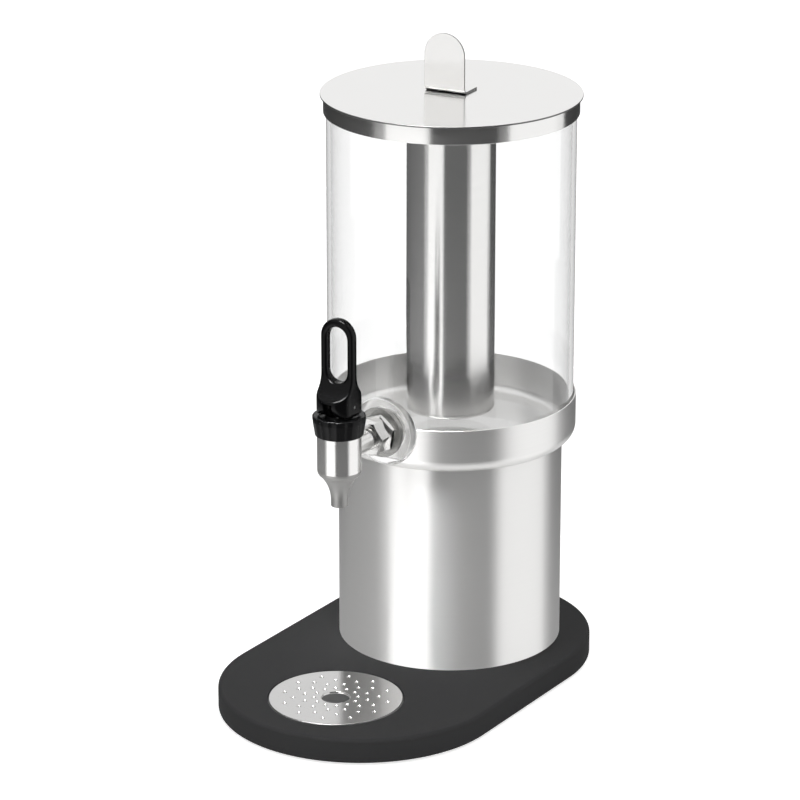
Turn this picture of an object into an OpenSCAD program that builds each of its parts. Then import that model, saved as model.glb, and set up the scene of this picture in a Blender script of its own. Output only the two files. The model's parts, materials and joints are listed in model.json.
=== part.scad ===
// Drink dispenser: a clear jar on a steel pedestal, with an ice tube under its lid,
// a lever tap at the front and a drip plate let into a long black base board.
// Millimetres. The origin is on the ground under the middle of the base board,
// +Z is up and the tap looks along minus Y.

/* [Base board] */
// Width of the base board, which is also the diameter of its round ends
board_w = 203.6; // [198:0.2:230]
// Thickness of the base board
board_t = 18; // [17:0.5:24]
// Rounding along the board's upper and lower edges
board_edge = 2.5; // [1:0.5:4]
// Distance from the drip plate's centre to the board's front end
board_front = 68.2; // [62:0.2:90]
// Distance from the pedestal's axis to the board's back end
board_back = 103.8; // [100:0.2:130]
// Diameter of a rubber foot
foot_d = 20; // [16:1:24]
// Depth of the pocket that a foot sits in
foot_pocket = 2; // [1.5:0.1:3]
// How far a foot stands out under the board
foot_h = 1.2; // [1:0.1:3]
// Distance of each foot from the board's middle line
foot_x = 66; // [62:1:70]
// Distance of the front and back feet from the board's middle
foot_y = 100; // [94:1:104]

/* [Pedestal] */
// Height of the pedestal's steel shell
pedestal_h = 152.3; // [110:0.1:200]
// Thickness of the pedestal's steel shell
pedestal_wall = 1.2; // [1:0.1:2]
// Thickness of the discs inside the pedestal's ends
end_disc_t = 3; // [2.5:0.5:5]
// Height of the screw bosses on the lower disc
end_boss_h = 14; // [12:1:20]
// Diameter of those bosses
end_boss_d = 12; // [10:1:16]
// Distance of the screws from the pedestal's axis
screw_ring_r = 56; // [50:1:60]

/* [Screws] */
// Number of screws that hold the pedestal on the board
screw_count = 4; // [3:1:6]
// Shank diameter of the pedestal's screws
screw_d = 5; // [4:0.5:6]
// Head diameter of the pedestal's screws
screw_head_d = 9; // [8:0.5:11]
// Head height of the pedestal's screws
screw_head_h = 1.6; // [1.2:0.1:1.8]
// Shank diameter of the screws that hold the feet
foot_screw_d = 3; // [2.5:0.5:4]
// Head diameter of the screws that hold the feet
foot_head_d = 6; // [5:0.5:7]
// Length of the screws that hold the feet
foot_screw_l = 11; // [9:1:13]

/* [Cup and jar] */
// Thickness of the sheet that the cup and the lid's skirt are formed from
sheet_t = 1; // [0.8:0.1:1.5]
// Height of the cup that holds the jar
cup_h = 32.6; // [28:0.1:40]
// Radius of the cup's rounded foot
cup_round = 9.7; // [8:0.1:12]
// Outer diameter of the jar
jar_d = 176.4; // [170:0.2:182]
// Height of the jar
jar_h = 247.8; // [200:0.1:300]
// Wall thickness of the jar
jar_wall = 3; // [2.5:0.1:4]
// Floor thickness of the jar
jar_floor_t = 6; // [4:0.1:7]
// Rounding inside the jar where its wall meets its floor
jar_inner_round = 2.5; // [1:0.1:5]
// Diameter of the flat round boss that carries the tap
boss_d = 48.4; // [44:0.2:49]
// How far that boss stands out in front of the jar's wall
boss_out = 3.8; // [3:0.1:6]
// How far the boss stands in behind the jar's wall
boss_in = 2.2; // [2.2:0.1:4]
// Diameter of the flat inside face of the boss
boss_pad_d = 34; // [32:1:38]
// Height of the tap's hole above the jar's underside
tap_h = 27.1; // [26.5:0.1:40]

/* [Lid] */
// Thickness of the lid's disc
lid_t = 1.3; // [1:0.1:2]
// How far the disc stands out past the skirt
lid_overhang = 2.3; // [1:0.1:4]
// Height of the lid's skirt
skirt_h = 12.1; // [9:0.1:20]
// Thickness of the silicone ring between lid and jar
gasket_t = 2.5; // [2:0.1:4]
// Thickness of the bent steel tab that is the lid's handle
handle_t = 1.5; // [1.2:0.1:2.5]
// Width of the handle
handle_w = 31.3; // [26:0.1:36]
// Height of the handle above the lid
handle_h = 42.8; // [36:0.1:60]
// Length of the handle's foot on the lid
handle_foot = 20.4; // [14:0.1:26]
// Outer radius of the bend between handle and foot
handle_bend = 4.5; // [3:0.1:6]
// Distance of the handle's front face from the lid's middle
handle_front = 4.8; // [2:0.1:10]
// Sideways place of the handle on the lid
handle_shift = -3.5; // [-5:0.1:5]
// Turn of the lid as it lies on the jar
lid_turn = 5; // [-30:1:30]

/* [Ice tube] */
// Outer diameter of the ice tube
tube_d = 63; // [56:0.5:66]
// Wall thickness of the ice tube
tube_wall = 0.8; // [0.6:0.1:1.2]
// Gap between the ice tube's closed end and the jar's floor
tube_floor_gap = 13.4; // [13:0.1:30]
// Height of the closing cap's skirt inside the tube
tube_cap_h = 9; // [6:1:14]
// Height of the socket under the lid that the tube is pushed on
socket_h = 14; // [13:0.5:18]
// Wall thickness of that socket
socket_wall = 4; // [3.5:0.1:5]
// Thickness of the rubber ring round the socket
ring_d = 2.4; // [2:0.1:2.6]

/* [Drip tray] */
// Diameter of the perforated drip plate
drip_d = 94.8; // [90:0.2:98]
// Thickness of the drip plate
drip_t = 1.5; // [1.2:0.1:2]
// Diameter of the finger hole in the drip plate
finger_hole_d = 20; // [18:0.5:22]
// Diameter of the small drain holes
drain_d = 2.8; // [2:0.1:3]
// Drain holes in each ring
drain_count = 12; // [8:1:12]
// Radius of the inner ring of drain holes
drain_r = 15.6; // [15:0.1:16]
// Distance from one ring of drain holes to the next
drain_step = 7.27; // [6.6:0.01:7.3]
// Turn of the hole pattern as the plate lies in the board
drip_turn = 3.8; // [-15:0.1:15]
// Depth of the round recess for the tray
recess_depth = 12; // [11:0.5:13]
// Wall thickness of the tray
tray_wall = 1.4; // [1.2:0.1:2]
// How far the drip plate stands above the board
drip_proud = 0.2; // [0:0.1:0.5]
// How far the drip plate's centre lies in front of the spout
drip_lead = 6.2; // [0:0.1:8]

/* [Tap] */
// Distance from the jar's axis to the spout's axis
tap_reach = 146; // [142:0.1:156]
// Outer diameter of the tap's body
body_d = 30.8; // [29:0.1:33]
// Bore of the valve chamber
chamber_d = 24.8; // [24:0.1:25.6]
// Height of the body's bare barrel above the shank's axis
body_up = 14.6; // [12:0.1:18]
// Depth of the barrel below the shank's axis
body_down = 11.3; // [11:0.1:12]
// Distance of the spout's end below the shank's axis
spout_drop = 38; // [36:0.5:46]
// Outer diameter of the spout's straight end
spout_d = 12; // [11.5:0.1:14]
// Length of the spout's straight end
spout_straight = 4.3; // [4:0.1:6]
// Diameter of the wide end of the tapered neck over the spout
taper_d = 24.6; // [23:0.1:26]
// Radius of the hollow curve between spout and barrel
taper_curve = 26.7; // [24:0.1:29]
// Bore of the spout
spout_bore = 9.2; // [8:0.1:9.6]
// Outer diameter of the threaded shank
shank_d = 16.6; // [16:0.1:17.4]
// Bore of the shank
shank_bore = 10.4; // [9:0.1:11]
// Size across the flats of the nuts in front of and inside the jar
nut_af = 22; // [21:0.5:24]
// Thickness of the nut in front of the jar
nut_t = 11.8; // [10:0.1:13]
// Turn of that nut
nut_turn = -6; // [-30:1:30]
// Size across the flats of the thin lock nut
lock_af = 25; // [24:0.5:27]
// Thickness of the thin lock nut
lock_t = 3.6; // [3:0.1:5]
// Turn of the thin lock nut
lock_turn = 40; // [0:1:60]
// Diameter of the outer silicone washer
washer_d = 36; // [32:0.5:40]
// Thickness of the outer silicone washer
washer_t = 3.5; // [2.5:0.1:5]
// Diameter of the inner silicone washer
inner_washer_d = 30; // [28:0.5:31]
// Thickness of the inner silicone washer
inner_washer_t = 2.5; // [2:0.1:3]
// Thickness of the nut inside the jar
inner_nut_t = 7; // [5:0.5:9]
// Largest diameter of the black bonnet
bonnet_d = 37.6; // [36:0.1:39]
// Diameter of the bonnet's lower edge
bonnet_low_d = 33.8; // [33:0.1:35]
// Height of the bonnet
bonnet_h = 14.5; // [13.5:0.1:16]
// Number of flutes round the bonnet
flute_count = 10; // [8:1:14]
// Depth of those flutes
flute_depth = 0.8; // [0.4:0.1:1]
// Diameter of the hollow ring on top of the bonnet
dish_d = 27.2; // [26:0.1:28]
// Depth of that hollow ring
dish_depth = 1.6; // [1:0.1:2]
// Diameter of the land in the middle, on which the lever's heel runs
land_d = 19; // [17:0.5:20]

/* [Valve and lever] */
// Diameter of the valve's stem
stem_d = 7.1; // [6.6:0.1:7.6]
// Diameter of the stem's spring flange
flange_d = 17; // [16:0.5:18]
// Thickness of that flange
flange_t = 1.5; // [1.2:0.1:2]
// Diameter of the silicone seat cup
seat_cup_d = 15.6; // [14:0.1:17]
// Height of the silicone seat cup
seat_cup_h = 7; // [6:0.1:8]
// Height of the raised ring that the seat cup closes on
crater_h = 0.8; // [0.5:0.1:1]
// Mean diameter of the return spring
spring_d = 14; // [12.5:0.1:14.5]
// Wire diameter of the return spring
spring_wire = 1.2; // [1:0.1:1.4]
// Turns of the return spring
spring_turns = 6; // [5:1:7]
// Height of the pin above the lever's heel
heel_h = 7; // [6.6:0.1:8]
// How far the stem rises for each radian that the lever tilts
lift_rate = 5.4; // [4.6:0.1:5.6]
// Largest tilt of the lever
tilt_max = 80; // [60:1:80]
// Diameter of the lever's pin
pin_d = 3; // [2.5:0.1:3.4]
// Width of the lever, flat to flat
lever_w = 26.4; // [25:0.1:28]
// Height of the lever above its pin
lever_h = 62; // [56:0.5:70]
// Thickness of the loop at its top
loop_t = 6.6; // [6:0.1:8]
// Radius of the hollow curve between loop and heels
cove_r = 17.5; // [15:0.5:20]
// Width of the hole in the loop
hole_w = 16.5; // [14:0.1:17]
// Height of the hole's lower end above the pin
hole_low = 16.1; // [15:0.1:20]
// Width of the lever's front slot
slot_w = 7.4; // [7.2:0.1:8]

/* [Fits] */
// Radial play of a shaft that turns or slides in its hole
run_fit = 0.05; // [0.02:0.01:0.1]
// Gap between pieces that rest on each other but lift apart
rest_gap = 0.1; // [0.05:0.05:0.3]
// Gap between the jar and the cup or skirt round it
jar_gap = 1; // [0.8:0.1:2]
// Gap between the board's recess and the drip plate in it
recess_gap = 0.8; // [0.5:0.1:1.2]
// Gap between the board's recess and the tray in it
tray_gap = 0.4; // [0.2:0.1:0.6]
// Gap round the jar's boss in the cup's notch
notch_gap = 1.5; // [1:0.1:3]
// Radial gap round the shank in the jar's hole
shank_gap = 0.2; // [0.1:0.05:0.4]
// Gap between the soft seat cup and its seat
soft_gap = 0.2; // [0.1:0.05:0.3]

/* [Hidden] */
$fn = 96;
cut = 1;

// Levels, from the ground up
board_top = foot_h + board_t;
pedestal_top_z = board_top + pedestal_h;
cup_floor = pedestal_top_z + sheet_t;
cup_rim = pedestal_top_z + cup_h;
jar_base = cup_floor + rest_gap;
jar_floor = jar_base + jar_floor_t;
jar_rim = jar_base + jar_h;
lid_under = jar_rim + rest_gap + gasket_t;
lid_top = lid_under + lid_t;
tube_low = jar_floor + tube_floor_gap;
tube_high = lid_under - cut;

// Radii round the jar's axis
jar_r = jar_d / 2;
cup_r = jar_r + jar_gap + sheet_t;
pedestal_r = cup_r - cup_round;
end_disc_r = pedestal_r - pedestal_wall - run_fit;
lid_r = cup_r + lid_overhang;
tube_r = tube_d / 2;
socket_r = tube_r - tube_wall - 4 * run_fit;
ring_r = tube_r - tube_wall - run_fit - ring_d / 2;

// Places along the board
board_l = board_front + drip_lead + tap_reach + board_back;
axis_y = board_l / 2 - board_back;
tap_y = axis_y - tap_reach;
drip_y = tap_y - drip_lead;
tap_z = jar_base + tap_h;

// Drip tray
recess_r = drip_d / 2 + recess_gap;
recess_floor = board_top - recess_depth;
tray_r = recess_r - tray_gap;
drip_top = board_top + drip_proud;
tray_rim = drip_top - drip_t - rest_gap;

// Tap fittings, as distances in front of the jar's axis
boss_face = jar_r + boss_out;
boss_back = jar_r - jar_wall - boss_in;
washer_face = boss_face + washer_t;
lock_face = washer_face + lock_t;
nut_face = lock_face + nut_t;
inner_washer_face = boss_back - inner_washer_t;
inner_nut_face = inner_washer_face - inner_nut_t;
shank_end = inner_nut_face - 2;

// Tap heights, from the shank's axis
neck_d = body_d - 2.8;
chamber_floor = -(chamber_d / 2 - 3.2);
crater_top = chamber_floor + crater_h;
neck_top = body_up + 7.2;
bonnet_roof = neck_top + cut;
bonnet_top = body_up + bonnet_h;
bonnet_wide = body_up + 0.74 * bonnet_h;
seat_cup_low = crater_top + soft_gap;
seat_cup_high = seat_cup_low + seat_cup_h;
flange_top = seat_cup_high + flange_t;
pin_z = bonnet_top + rest_gap + heel_h;
body_r = body_d / 2;
body_edge = (body_d - taper_d) / 2;
body_edge_h = 1.65 * body_edge;

// Lever, from its pin
heel_steps = 12;
function heel_reach(a) = heel_h + lift_rate * a * PI / 180;
function heel_point(a) = [
    -heel_reach(a) * sin(a) - lift_rate * cos(a),
    -heel_reach(a) * cos(a) + lift_rate * sin(a)
];
heel_front = [for (i = [0 : heel_steps]) heel_point(90 * i / heel_steps)];
heel_back = [for (i = [heel_steps : -1 : 0]) [-heel_front[i][0], heel_front[i][1]]];
lever_half_depth = heel_reach(90);
slot_r = stem_d / 2 + 0.6;
head_r = stem_d / 2 + 0.15;
hole_r = hole_w / 2;
cove_low = lift_rate + 0.4;
cove_z = cove_low + sqrt(pow(cove_r, 2) - pow(cove_r + loop_t / 2 - lever_half_depth, 2));

// Places at the axis of the jar, of the tap and of the drip plate
module at_jar_axis(z = 0) { translate([0, axis_y, z]) children(); }
module at_tap(z = 0) { translate([0, tap_y, tap_z + z]) children(); }
module at_drip(z = 0) { translate([0, drip_y, z]) children(); }

// Screw places round the pedestal's axis
module round_axis(count, r) {
    for (i = [0 : count - 1]) rotate(45 + 360 * i / count) translate([r, 0, 0]) children();
}

// Foot places under the board
module at_feet() {
    for (x = [-foot_x, foot_x], y = [-foot_y, foot_y]) translate([x, y, 0]) children();
}

// A cylinder that runs back along +Y from a face at a given distance ahead of the jar's axis
module along_tap(face, length, r, sides = $fn) {
    translate([0, axis_y - face, tap_z]) rotate([-90, 0, 0]) cylinder(h = length, r = r, $fn = sides);
}

// A ring with a square section
module ring(r_out, r_in, h) {
    difference() {
        cylinder(h = h, r = r_out);
        translate([0, 0, -cut]) cylinder(h = h + 2 * cut, r = r_in);
    }
}

// Half the section of a disc with rounded upper and lower edges
module disc_section(r, h, edge) {
    square([r - edge, h]);
    translate([0, edge]) square([r, h - 2 * edge]);
    for (z = [edge, h - edge]) translate([r - edge, z]) circle(edge);
}

// Half the section of a solid vessel with a rounded foot
module vessel_section(r, h, foot_r) {
    square([r - foot_r, h]);
    translate([0, foot_r]) square([r, h - foot_r]);
    translate([r - foot_r, foot_r]) circle(foot_r);
}

// A six-sided nut with turned-off corners, its front face at a given distance
module tap_nut_shape(face, length, across, turn, bore_r) {
    corner_r = across / sqrt(3);
    bevel = (corner_r - across / 2) * 0.6;
    translate([0, axis_y - face, tap_z]) rotate([-90, 0, 0]) difference() {
        intersection() {
            rotate(turn) cylinder(h = length, r = corner_r, $fn = 6);
            rotate_extrude() polygon([
                [0, 0], [across / 2, 0], [across / 2 + 2 * bevel, bevel],
                [across / 2 + 2 * bevel, length - bevel], [across / 2, length], [0, length]
            ]);
        }
        translate([0, 0, -cut]) cylinder(h = length + 2 * cut, r = bore_r);
    }
}

// Base board with its recess, foot pockets and screw holes
module base_plate() {
    end_y = board_l / 2 - board_w / 2;
    color([0.20, 0.20, 0.21]) difference() {
        translate([0, 0, foot_h]) union() {
            for (y = [-end_y, end_y]) translate([0, y, 0])
                rotate_extrude() disc_section(board_w / 2, board_t, board_edge);
            rotate([90, 0, 0]) linear_extrude(2 * end_y, center = true) {
                disc_section(board_w / 2, board_t, board_edge);
                mirror([1, 0]) disc_section(board_w / 2, board_t, board_edge);
            }
        }
        at_drip(recess_floor) cylinder(h = recess_depth + cut, r = recess_r);
        at_feet() {
            cylinder(h = foot_h + foot_pocket, r = foot_d / 2);
            cylinder(h = foot_h + foot_screw_l, r = foot_screw_d / 2);
        }
        at_jar_axis() round_axis(screw_count, screw_ring_r) {
            cylinder(h = board_top + cut, r = screw_d / 2);
            cylinder(h = foot_h + 2 * screw_head_h, r = screw_head_d / 2 + jar_gap);
        }
    }
}

// Four rubber feet, each with a hollow for its screw's head
module rubber_feet() {
    color([0.09, 0.09, 0.10]) at_feet() difference() {
        cylinder(h = foot_h + foot_pocket, r = foot_d / 2);
        translate([0, 0, -cut]) cylinder(h = 2 * foot_h + foot_pocket + cut, r = foot_screw_d / 2);
        translate([0, 0, -cut]) cylinder(h = foot_h + cut, r = foot_head_d / 2 + rest_gap);
    }
}

// Screws that hold the feet
module foot_screws() {
    color([0.72, 0.72, 0.73]) at_feet() {
        translate([0, 0, foot_h / 4]) cylinder(h = 0.75 * foot_h, r = foot_head_d / 2);
        translate([0, 0, foot_h]) cylinder(h = foot_screw_l, r = foot_screw_d / 2);
    }
}

// Brushed steel shell of the pedestal
module pedestal_shell() {
    color([0.74, 0.74, 0.73]) at_jar_axis(board_top)
        ring(pedestal_r, pedestal_r - pedestal_wall, pedestal_h);
}

// Disc inside the pedestal's lower end, with bosses for the screws
module pedestal_foot() {
    color([0.45, 0.45, 0.46]) at_jar_axis(board_top) difference() {
        union() {
            cylinder(h = end_disc_t, r = end_disc_r);
            round_axis(screw_count, screw_ring_r) cylinder(h = end_boss_h, r = end_boss_d / 2);
        }
        round_axis(screw_count, screw_ring_r)
            translate([0, 0, -cut]) cylinder(h = end_boss_h - cut, r = screw_d / 2);
    }
}

// Disc inside the pedestal's upper end, under the cup
module pedestal_top() {
    color([0.45, 0.45, 0.46]) at_jar_axis(pedestal_top_z - end_disc_t)
        cylinder(h = end_disc_t, r = end_disc_r);
}

// Screws from under the board into the pedestal's foot
module base_screws() {
    reach = board_top + end_boss_h - 3 * cut;
    color([0.72, 0.72, 0.73]) at_jar_axis() round_axis(screw_count, screw_ring_r) {
        translate([0, 0, foot_h + screw_head_h]) cylinder(h = screw_head_h, r = screw_head_d / 2);
        translate([0, 0, foot_h + 2 * screw_head_h])
            cylinder(h = reach - foot_h - 2 * screw_head_h, r = screw_d / 2);
    }
}

// Steel cup that holds the jar, with a notch for the jar's boss
module cup() {
    notch_r = boss_d / 2 + notch_gap;
    color([0.80, 0.80, 0.79]) difference() {
        at_jar_axis(pedestal_top_z) difference() {
            rotate_extrude() vessel_section(cup_r, cup_h, cup_round);
            translate([0, 0, sheet_t]) rotate_extrude()
                vessel_section(cup_r - sheet_t, cup_h, cup_round - sheet_t);
        }
        along_tap(lid_r + cut, lid_r / 2, notch_r);
        translate([-notch_r, axis_y - lid_r - cut, tap_z]) cube([2 * notch_r, lid_r / 2, cup_h]);
    }
}

// Tray in the board's recess
module drip_tray() {
    low = recess_floor + rest_gap;
    color([0.16, 0.16, 0.17]) at_drip(low) difference() {
        cylinder(h = tray_rim - low, r = tray_r);
        translate([0, 0, tray_wall]) cylinder(h = tray_rim - low, r = tray_r - tray_wall);
    }
}

// Perforated steel plate on the tray
module drip_plate() {
    half_step = 180 / drain_count;
    color([0.84, 0.84, 0.83]) at_drip(drip_top - drip_t) rotate(drip_turn) difference() {
        cylinder(h = drip_t, r = drip_d / 2);
        translate([0, 0, -cut]) cylinder(h = drip_t + 2 * cut, r = finger_hole_d / 2);
        for (row = [0 : 3], i = [0 : drain_count - 1])
            rotate(half_step * (2 * i + row % 2)) translate([drain_r + row * drain_step, 0, -cut])
                cylinder(h = drip_t + 2 * cut, r = drain_d / 2, $fn = 24);
    }
}

// Clear jar with the boss that carries the tap
module jar() {
    foot_round = cup_round - sheet_t;
    color([0.92, 0.95, 0.95, 0.35]) difference() {
        union() {
            at_jar_axis(jar_base) rotate_extrude() vessel_section(jar_r, jar_h, foot_round);
            along_tap(boss_face, boss_out + jar_wall + 3, boss_d / 2);
        }
        difference() {
            at_jar_axis(jar_floor) rotate_extrude()
                vessel_section(jar_r - jar_wall, jar_h, jar_inner_round);
            along_tap(jar_r, jar_r - boss_back, boss_pad_d / 2);
        }
        along_tap(boss_face + cut, boss_face - boss_back + 2 * cut, shank_d / 2 + shank_gap);
    }
}

// Soft washer in front of the boss
module outer_washer() {
    color([0.86, 0.86, 0.84, 0.8]) difference() {
        along_tap(washer_face, washer_t, washer_d / 2);
        along_tap(washer_face + cut, washer_t + 2 * cut, shank_d / 2);
    }
}

// Thin nut against the washer
module lock_nut() {
    color([0.78, 0.78, 0.77]) tap_nut_shape(lock_face, lock_t, lock_af, lock_turn, shank_d / 2);
}

// Thick nut that clamps the tap
module tap_nut() {
    color([0.80, 0.80, 0.79]) tap_nut_shape(nut_face, nut_t, nut_af, nut_turn, shank_d / 2);
}

// Soft washer behind the boss
module inner_washer() {
    color([0.86, 0.86, 0.84, 0.8]) difference() {
        along_tap(boss_back, inner_washer_t, inner_washer_d / 2);
        along_tap(boss_back + cut, inner_washer_t + 2 * cut, shank_d / 2);
    }
}

// Nut inside the jar
module inner_nut() {
    color([0.80, 0.80, 0.79])
        tap_nut_shape(inner_washer_face, inner_nut_t, nut_af, nut_turn, shank_d / 2);
}

// Half the outer section of the tap's body, from the spout's end up to its neck
module body_section() {
    taper_low = -spout_drop + spout_straight;
    taper_high = -body_down - body_edge_h;
    translate([0, -spout_drop]) square([spout_d / 2, spout_drop + chamber_floor]);
    difference() {
        translate([0, taper_low]) square([taper_d / 2, taper_high - taper_low]);
        translate([spout_d / 2 + taper_curve, taper_low]) circle(taper_curve);
    }
    polygon([
        [0, taper_high], [taper_d / 2, taper_high],
        [body_r - 0.36 * body_edge, taper_high + 0.42 * body_edge_h],
        [body_r - 0.08 * body_edge, taper_high + 0.72 * body_edge_h], [body_r, -body_down],
        [body_r, body_up], [neck_d / 2, body_up], [neck_d / 2, neck_top], [0, neck_top]
    ]);
}

// Steel body of the tap with its spout and valve chamber
module tap_body() {
    color([0.82, 0.82, 0.81]) difference() {
        at_tap() rotate_extrude() body_section();
        at_tap(chamber_floor) difference() {
            cylinder(h = neck_top - chamber_floor + cut, r = chamber_d / 2);
            ring(spout_bore / 2 + 1.8, spout_bore / 2, crater_h);
        }
        at_tap(-spout_drop - cut) cylinder(h = spout_drop + cut, r = spout_bore / 2);
        along_tap(tap_reach, body_r + cut, shank_d / 2);
    }
}

// Threaded shank, set in the body's wall, that carries the tap on the jar
module tap_shank() {
    color([0.80, 0.80, 0.79]) difference() {
        along_tap(tap_reach, tap_reach - shank_end, shank_d / 2);
        along_tap(tap_reach + cut, tap_reach - shank_end + 2 * cut, shank_bore / 2);
        at_tap(-shank_d) cylinder(h = 2 * shank_d, r = chamber_d / 2);
    }
}

// Black fluted bonnet that closes the valve chamber
module bonnet() {
    flute_r = 5;
    top_r = bonnet_d / 2 - 1.6;
    color([0.10, 0.10, 0.11]) at_tap() difference() {
        rotate_extrude() polygon([
            [0, body_up], [bonnet_low_d / 2, body_up], [bonnet_d / 2, bonnet_wide],
            [bonnet_d / 2, bonnet_top - 1.6], [top_r, bonnet_top], [0, bonnet_top]
        ]);
        translate([0, 0, body_up - cut]) cylinder(h = bonnet_roof - body_up + cut, r = neck_d / 2);
        cylinder(h = bonnet_top + cut, r = stem_d / 2 + run_fit);
        translate([0, 0, bonnet_top - dish_depth]) ring(dish_d / 2, land_d / 2, dish_depth + cut);
        for (i = [0 : flute_count - 1]) rotate(360 * i / flute_count)
            translate([bonnet_d / 2 + flute_r - flute_depth, 0, bonnet_wide - 2])
                cylinder(h = bonnet_h, r = flute_r);
    }
}

// Silicone ring between the body's neck and the bonnet
module bonnet_gasket() {
    color([0.70, 0.70, 0.68]) at_tap(neck_top)
        ring(neck_d / 2, spring_d / 2 + spring_wire + 0.6, bonnet_roof - neck_top);
}

// Steel stem with its spring flange and the head that holds the lever's pin
module valve_stem() {
    plug_low = seat_cup_low + 2;
    color([0.76, 0.76, 0.75]) at_tap() difference() {
        union() {
            translate([0, 0, plug_low]) cylinder(h = pin_z - plug_low, r = stem_d / 2);
            translate([0, 0, seat_cup_high]) cylinder(h = flange_t, r = flange_d / 2);
            translate([0, 0, pin_z]) rotate([0, 90, 0])
                cylinder(h = stem_d - 0.1, r = head_r, center = true);
        }
        translate([0, 0, pin_z]) rotate([0, 90, 0])
            cylinder(h = stem_d + 2 * cut, r = pin_d / 2 + run_fit, center = true);
    }
}

// Silicone cup on the stem's lower end, which closes the spout's bore
module seat_cup() {
    color([0.70, 0.70, 0.68]) at_tap() difference() {
        translate([0, 0, seat_cup_low]) cylinder(h = seat_cup_h, r = seat_cup_d / 2);
        translate([0, 0, seat_cup_low + 2]) cylinder(h = seat_cup_h, r = stem_d / 2);
    }
}

// Points of one six-sided ring of the spring's wire, at a share t of its winding
function wire_ring(t, r, low, high, turns, wire_r) = [
    for (k = [0 : 5])
        let (a = 360 * turns * t, out = r + wire_r * cos(60 * k))
        [out * cos(a), out * sin(a), low + (high - low) * t + wire_r * sin(60 * k)]
];

// Return spring, one unbroken wire
module stem_spring() {
    wire_r = spring_wire / 2;
    rings = 8 * spring_turns;
    low = flange_top + rest_gap + wire_r;
    high = bonnet_roof - rest_gap - wire_r;
    points = [
        for (j = [0 : rings]) each wire_ring(j / rings, spring_d / 2, low, high, spring_turns, wire_r)
    ];
    sides = [
        for (j = [0 : rings - 1], k = [0 : 5])
            let (a = 6 * j + k, b = 6 * j + (k + 1) % 6)
            each [[a, b + 6, b], [a, a + 6, b + 6]]
    ];
    first = [for (k = [1 : 4]) [0, k, k + 1]];
    last = [for (k = [1 : 4]) [6 * rings, 6 * rings + k + 1, 6 * rings + k]];
    color([0.75, 0.75, 0.74]) at_tap() polyhedron(points, concat(sides, first, last));
}

// Side view of the lever: two rolling heels below, an even loop above
module lever_side() {
    difference() {
        polygon(concat(
            heel_front,
            [[-lever_half_depth, lever_h + cut], [lever_half_depth, lever_h + cut]],
            heel_back
        ));
        for (side = [0, 1]) mirror([side, 0]) {
            translate([loop_t / 2 + cove_r, cove_z]) circle(cove_r, $fn = 120);
            translate([loop_t / 2, cove_z]) square([lever_half_depth, lever_h]);
        }
    }
}

// Front view of the lever: straight sides and a round top
module lever_front() {
    translate([-lever_w / 2, -heel_h - cut]) square([lever_w, lever_h + heel_h + cut - lever_w / 2]);
    translate([0, lever_h - lever_w / 2]) circle(lever_w / 2);
}

// Black lever with its loop, front slot and pin hole
module tap_lever() {
    loop_bar = (lever_w - hole_w) / 2 + 0.9;
    hole_top = lever_h - loop_bar - hole_r;
    color([0.06, 0.06, 0.07]) at_tap(pin_z) difference() {
        intersection() {
            rotate([90, 0, 90]) linear_extrude(lever_w + 2 * cut, center = true) lever_side();
            rotate([90, 0, 0]) linear_extrude(2 * lever_half_depth + 2 * cut, center = true) lever_front();
            translate([0, 0, -heel_h - cut]) cylinder(h = lever_h + heel_h + 2 * cut, r = lever_half_depth + 0.1);
        }
        for (z = [hole_low + hole_r, hole_top]) translate([0, 0, z]) rotate([90, 0, 0])
            cylinder(h = 4 * lever_w, r = hole_r, center = true);
        translate([-hole_r, -2 * lever_w, hole_low + hole_r])
            cube([hole_w, 4 * lever_w, hole_top - hole_low - hole_r]);
        rotate([0, 90, 0]) cylinder(h = slot_w, r = slot_r, center = true);
        translate([-slot_w / 2, -lever_w, -lever_w]) cube([slot_w, lever_w, lever_w + slot_r]);
        translate([-slot_w / 2, -cut, -lever_w]) cube([slot_w, slot_r + cut, lever_w]);
        rotate([0, 90, 0]) cylinder(h = 2 * lever_w, r = pin_d / 2, center = true);
    }
}

// Steel pin of the lever
module lever_pin() {
    color([0.72, 0.72, 0.73]) at_tap(pin_z) rotate([0, 90, 0])
        cylinder(h = lever_w - 0.8, r = pin_d / 2, center = true);
}

// Steel disc of the lid
module lid_disc() {
    color([0.84, 0.84, 0.83]) at_jar_axis(lid_under)
        rotate_extrude() disc_section(lid_r, lid_t, 0.4);
}

// Steel skirt under the disc, round the jar's rim
module lid_skirt() {
    color([0.80, 0.80, 0.79]) at_jar_axis(lid_under - skirt_h)
        ring(cup_r, cup_r - sheet_t, skirt_h);
}

// Silicone ring that seals the lid on the jar's rim
module lid_gasket() {
    color([0.86, 0.86, 0.84]) at_jar_axis(lid_under - gasket_t)
        ring(cup_r - sheet_t, jar_r - jar_wall - 2, gasket_t);
}

// Side view of the handle: a tab bent up from its foot
module handle_side() {
    inner_bend = handle_bend - handle_t;
    square_l = handle_bend;
    difference() {
        union() {
            translate([0, square_l]) square([handle_t, handle_h - square_l]);
            translate([square_l, 0]) square([handle_foot - square_l, handle_t]);
            intersection() {
                square(square_l);
                translate([handle_bend, handle_bend]) circle(handle_bend);
            }
        }
        translate([handle_bend, handle_bend]) circle(inner_bend);
    }
}

// Handle of the lid with its half-round top
module lid_handle() {
    color([0.82, 0.82, 0.81]) at_jar_axis(lid_top) rotate(lid_turn)
        translate([handle_shift, -handle_front, 0]) intersection() {
            rotate([90, 0, 90]) linear_extrude(handle_w, center = true) handle_side();
            rotate([90, 0, 0]) linear_extrude(3 * handle_foot, center = true) {
                translate([-handle_w / 2, 0]) square([handle_w, handle_h - handle_w / 2]);
                translate([0, handle_h - handle_w / 2]) circle(handle_w / 2);
            }
        }
}

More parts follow.
